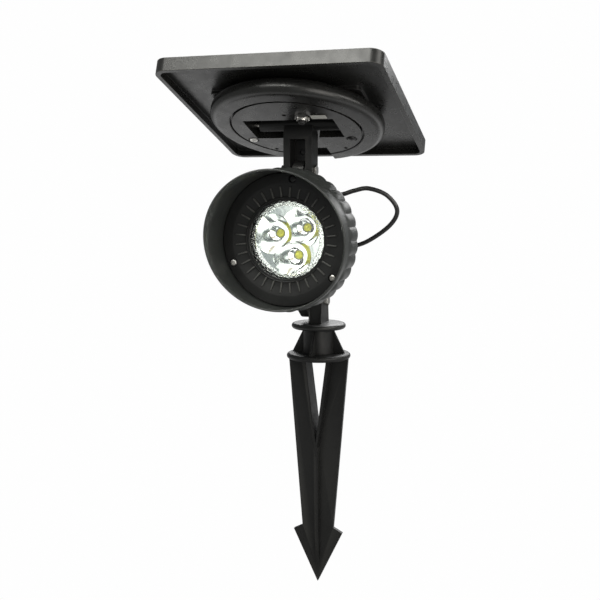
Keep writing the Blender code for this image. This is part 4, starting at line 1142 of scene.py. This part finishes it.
def make_cover(mats):
    """Cover disc with the hinge recess and its slot for the arm, screw seats and blind holes."""
    disc = cylinder(COVER_RADIUS, BOX_FACE, COVER_TOP, count=128)
    cover = mesh_object("cover_plate", disc, mats["satin"], PANEL)
    low = COVER_TOP - 0.0006
    add(cover, box((RECESS_LEFT - POCKET_WALL, RECESS_RIGHT + POCKET_WALL),
                   (RECESS_NEAR - POCKET_WALL, RECESS_FAR + POCKET_WALL), (low, RECESS_ROOF + POCKET_WALL)))
    channel = SLOT_HALF_X + POCKET_WALL
    channel_roof = BOX_ROOF - 0.0003
    add(cover, box((-channel, channel), (RECESS_FAR, 0.0400), (low, channel_roof)))
    cut(cover, box((RECESS_LEFT, RECESS_RIGHT), (RECESS_NEAR, RECESS_FAR), (-0.02, RECESS_ROOF)))
    cut(cover, box((-SLOT_HALF_X, SLOT_HALF_X), (RECESS_FAR - 0.001, 0.06),
                   (-0.02, channel_roof - POCKET_WALL)))
    drill(cover, HINGE_PIN_HOLE, RECESS_LEFT - 0.0009, RECESS_RIGHT + 0.0009, "X", 24, (HINGE_Y, HINGE_H))
    for centre in COVER_SCREWS.values():
        drill(cover, 0.0017, -0.02, COVER_TOP + 0.001, count=24, centre=centre)
        drill(cover, 0.0040, -0.02, BOX_FACE + 0.0007, count=40, centre=centre)
    for centre in BLIND_HOLES:
        drill(cover, 0.0014, -0.02, BOX_FACE + 0.0010, count=24, centre=centre)
    drill(cover, 0.0037, -0.02, COVER_TOP + 0.001, count=32, centre=SWITCH)
    finish_piece(cover, "panel", ["battery_cover"], edge=0.0003)
    # Identical cover screws: painted light on the left one, painted shade on the right one
    for (side, (x, y)), screw_tone in zip(COVER_SCREWS.items(), ("frosted", "blackened")):
        matrix = PANEL @ moved(x, y, BOX_FACE + 0.0004)
        cross_screw("cover_fixing_" + side, 0.0030, 0.0013, 0.0011, matrix, mats[screw_tone], "panel",
                    "cover_screw_" + side, 0.4)


def make_switch(mats):
    matrix = PANEL @ moved(*SWITCH, 0.0)
    bushing = [(0.0034, -0.0142), (0.0034, -0.0088), (0.0041, -0.0088), (0.0041, -0.0022), (0.0, -0.0022),
               (0.0, -0.0067), (0.0027, -0.0067), (0.0027, -0.0142)]
    piece("switch_bushing", ring_solid(softened(bushing, 0.0003, 2), 48), mats["bright"], matrix, "panel",
          ["power_switch"])
    hexagon = cylinder(0.0052, -0.0132, -0.0108, count=6, turn=0.25)
    nut = mesh_object("switch_ring_nut", hexagon, mats["bright"], matrix)
    envelope = [(0.0, -0.0133), (0.0045, -0.0133), (0.0054, -0.0125), (0.0054, -0.0102), (0.0, -0.0102)]
    combine(nut, ring_solid(envelope, 48), "INTERSECT")
    drill(nut, 0.0036, -0.02, 0.0, count=48)
    finish_piece(nut, "panel", ["switch_nut"], edge=0.0002)
    cap = [(0.0, -0.0162)] + domed(0.0012, 0.0011, 0.0153, 0.0009) + [(0.0023, -0.0086), (0.0, -0.0086)]
    piece("button_cap", ring_solid(cap, 40), mats["rubber"], matrix, "button",
          ["push_button"])
    label = prism(rounded_outline(0.0055, 0.0028, 0.0006, 4, LABEL), BOX_FACE - 0.0006, BOX_FACE - 0.0003)
    piece("switch_sticker", label, mats["label"], PANEL, "panel", ["switch_label"], edge=0.0001)


def dress_inner_parts(mats):
    """Materials for the inner CAD parts that stay as they are."""
    for name, key in INNER_PARTS.items():
        slots = frame["nodes"][name].data.materials
        slots.clear()
        slots.append(mats[key])


make_camera()
make_world()
make_floor(CAD_BOX[0].z - 0.002)
make_lights((CAD_BOX[0] + CAD_BOX[1]) / 2)

materials = make_materials()
for make in (make_cable, make_glands, make_housing, make_hood, make_bezel, make_bezel_screws, make_optics,
             make_bolts, make_post, make_spike, make_arm, make_tray, make_solar_sheet, make_battery_box,
             make_cover, make_switch, dress_inner_parts):
    make(materials)
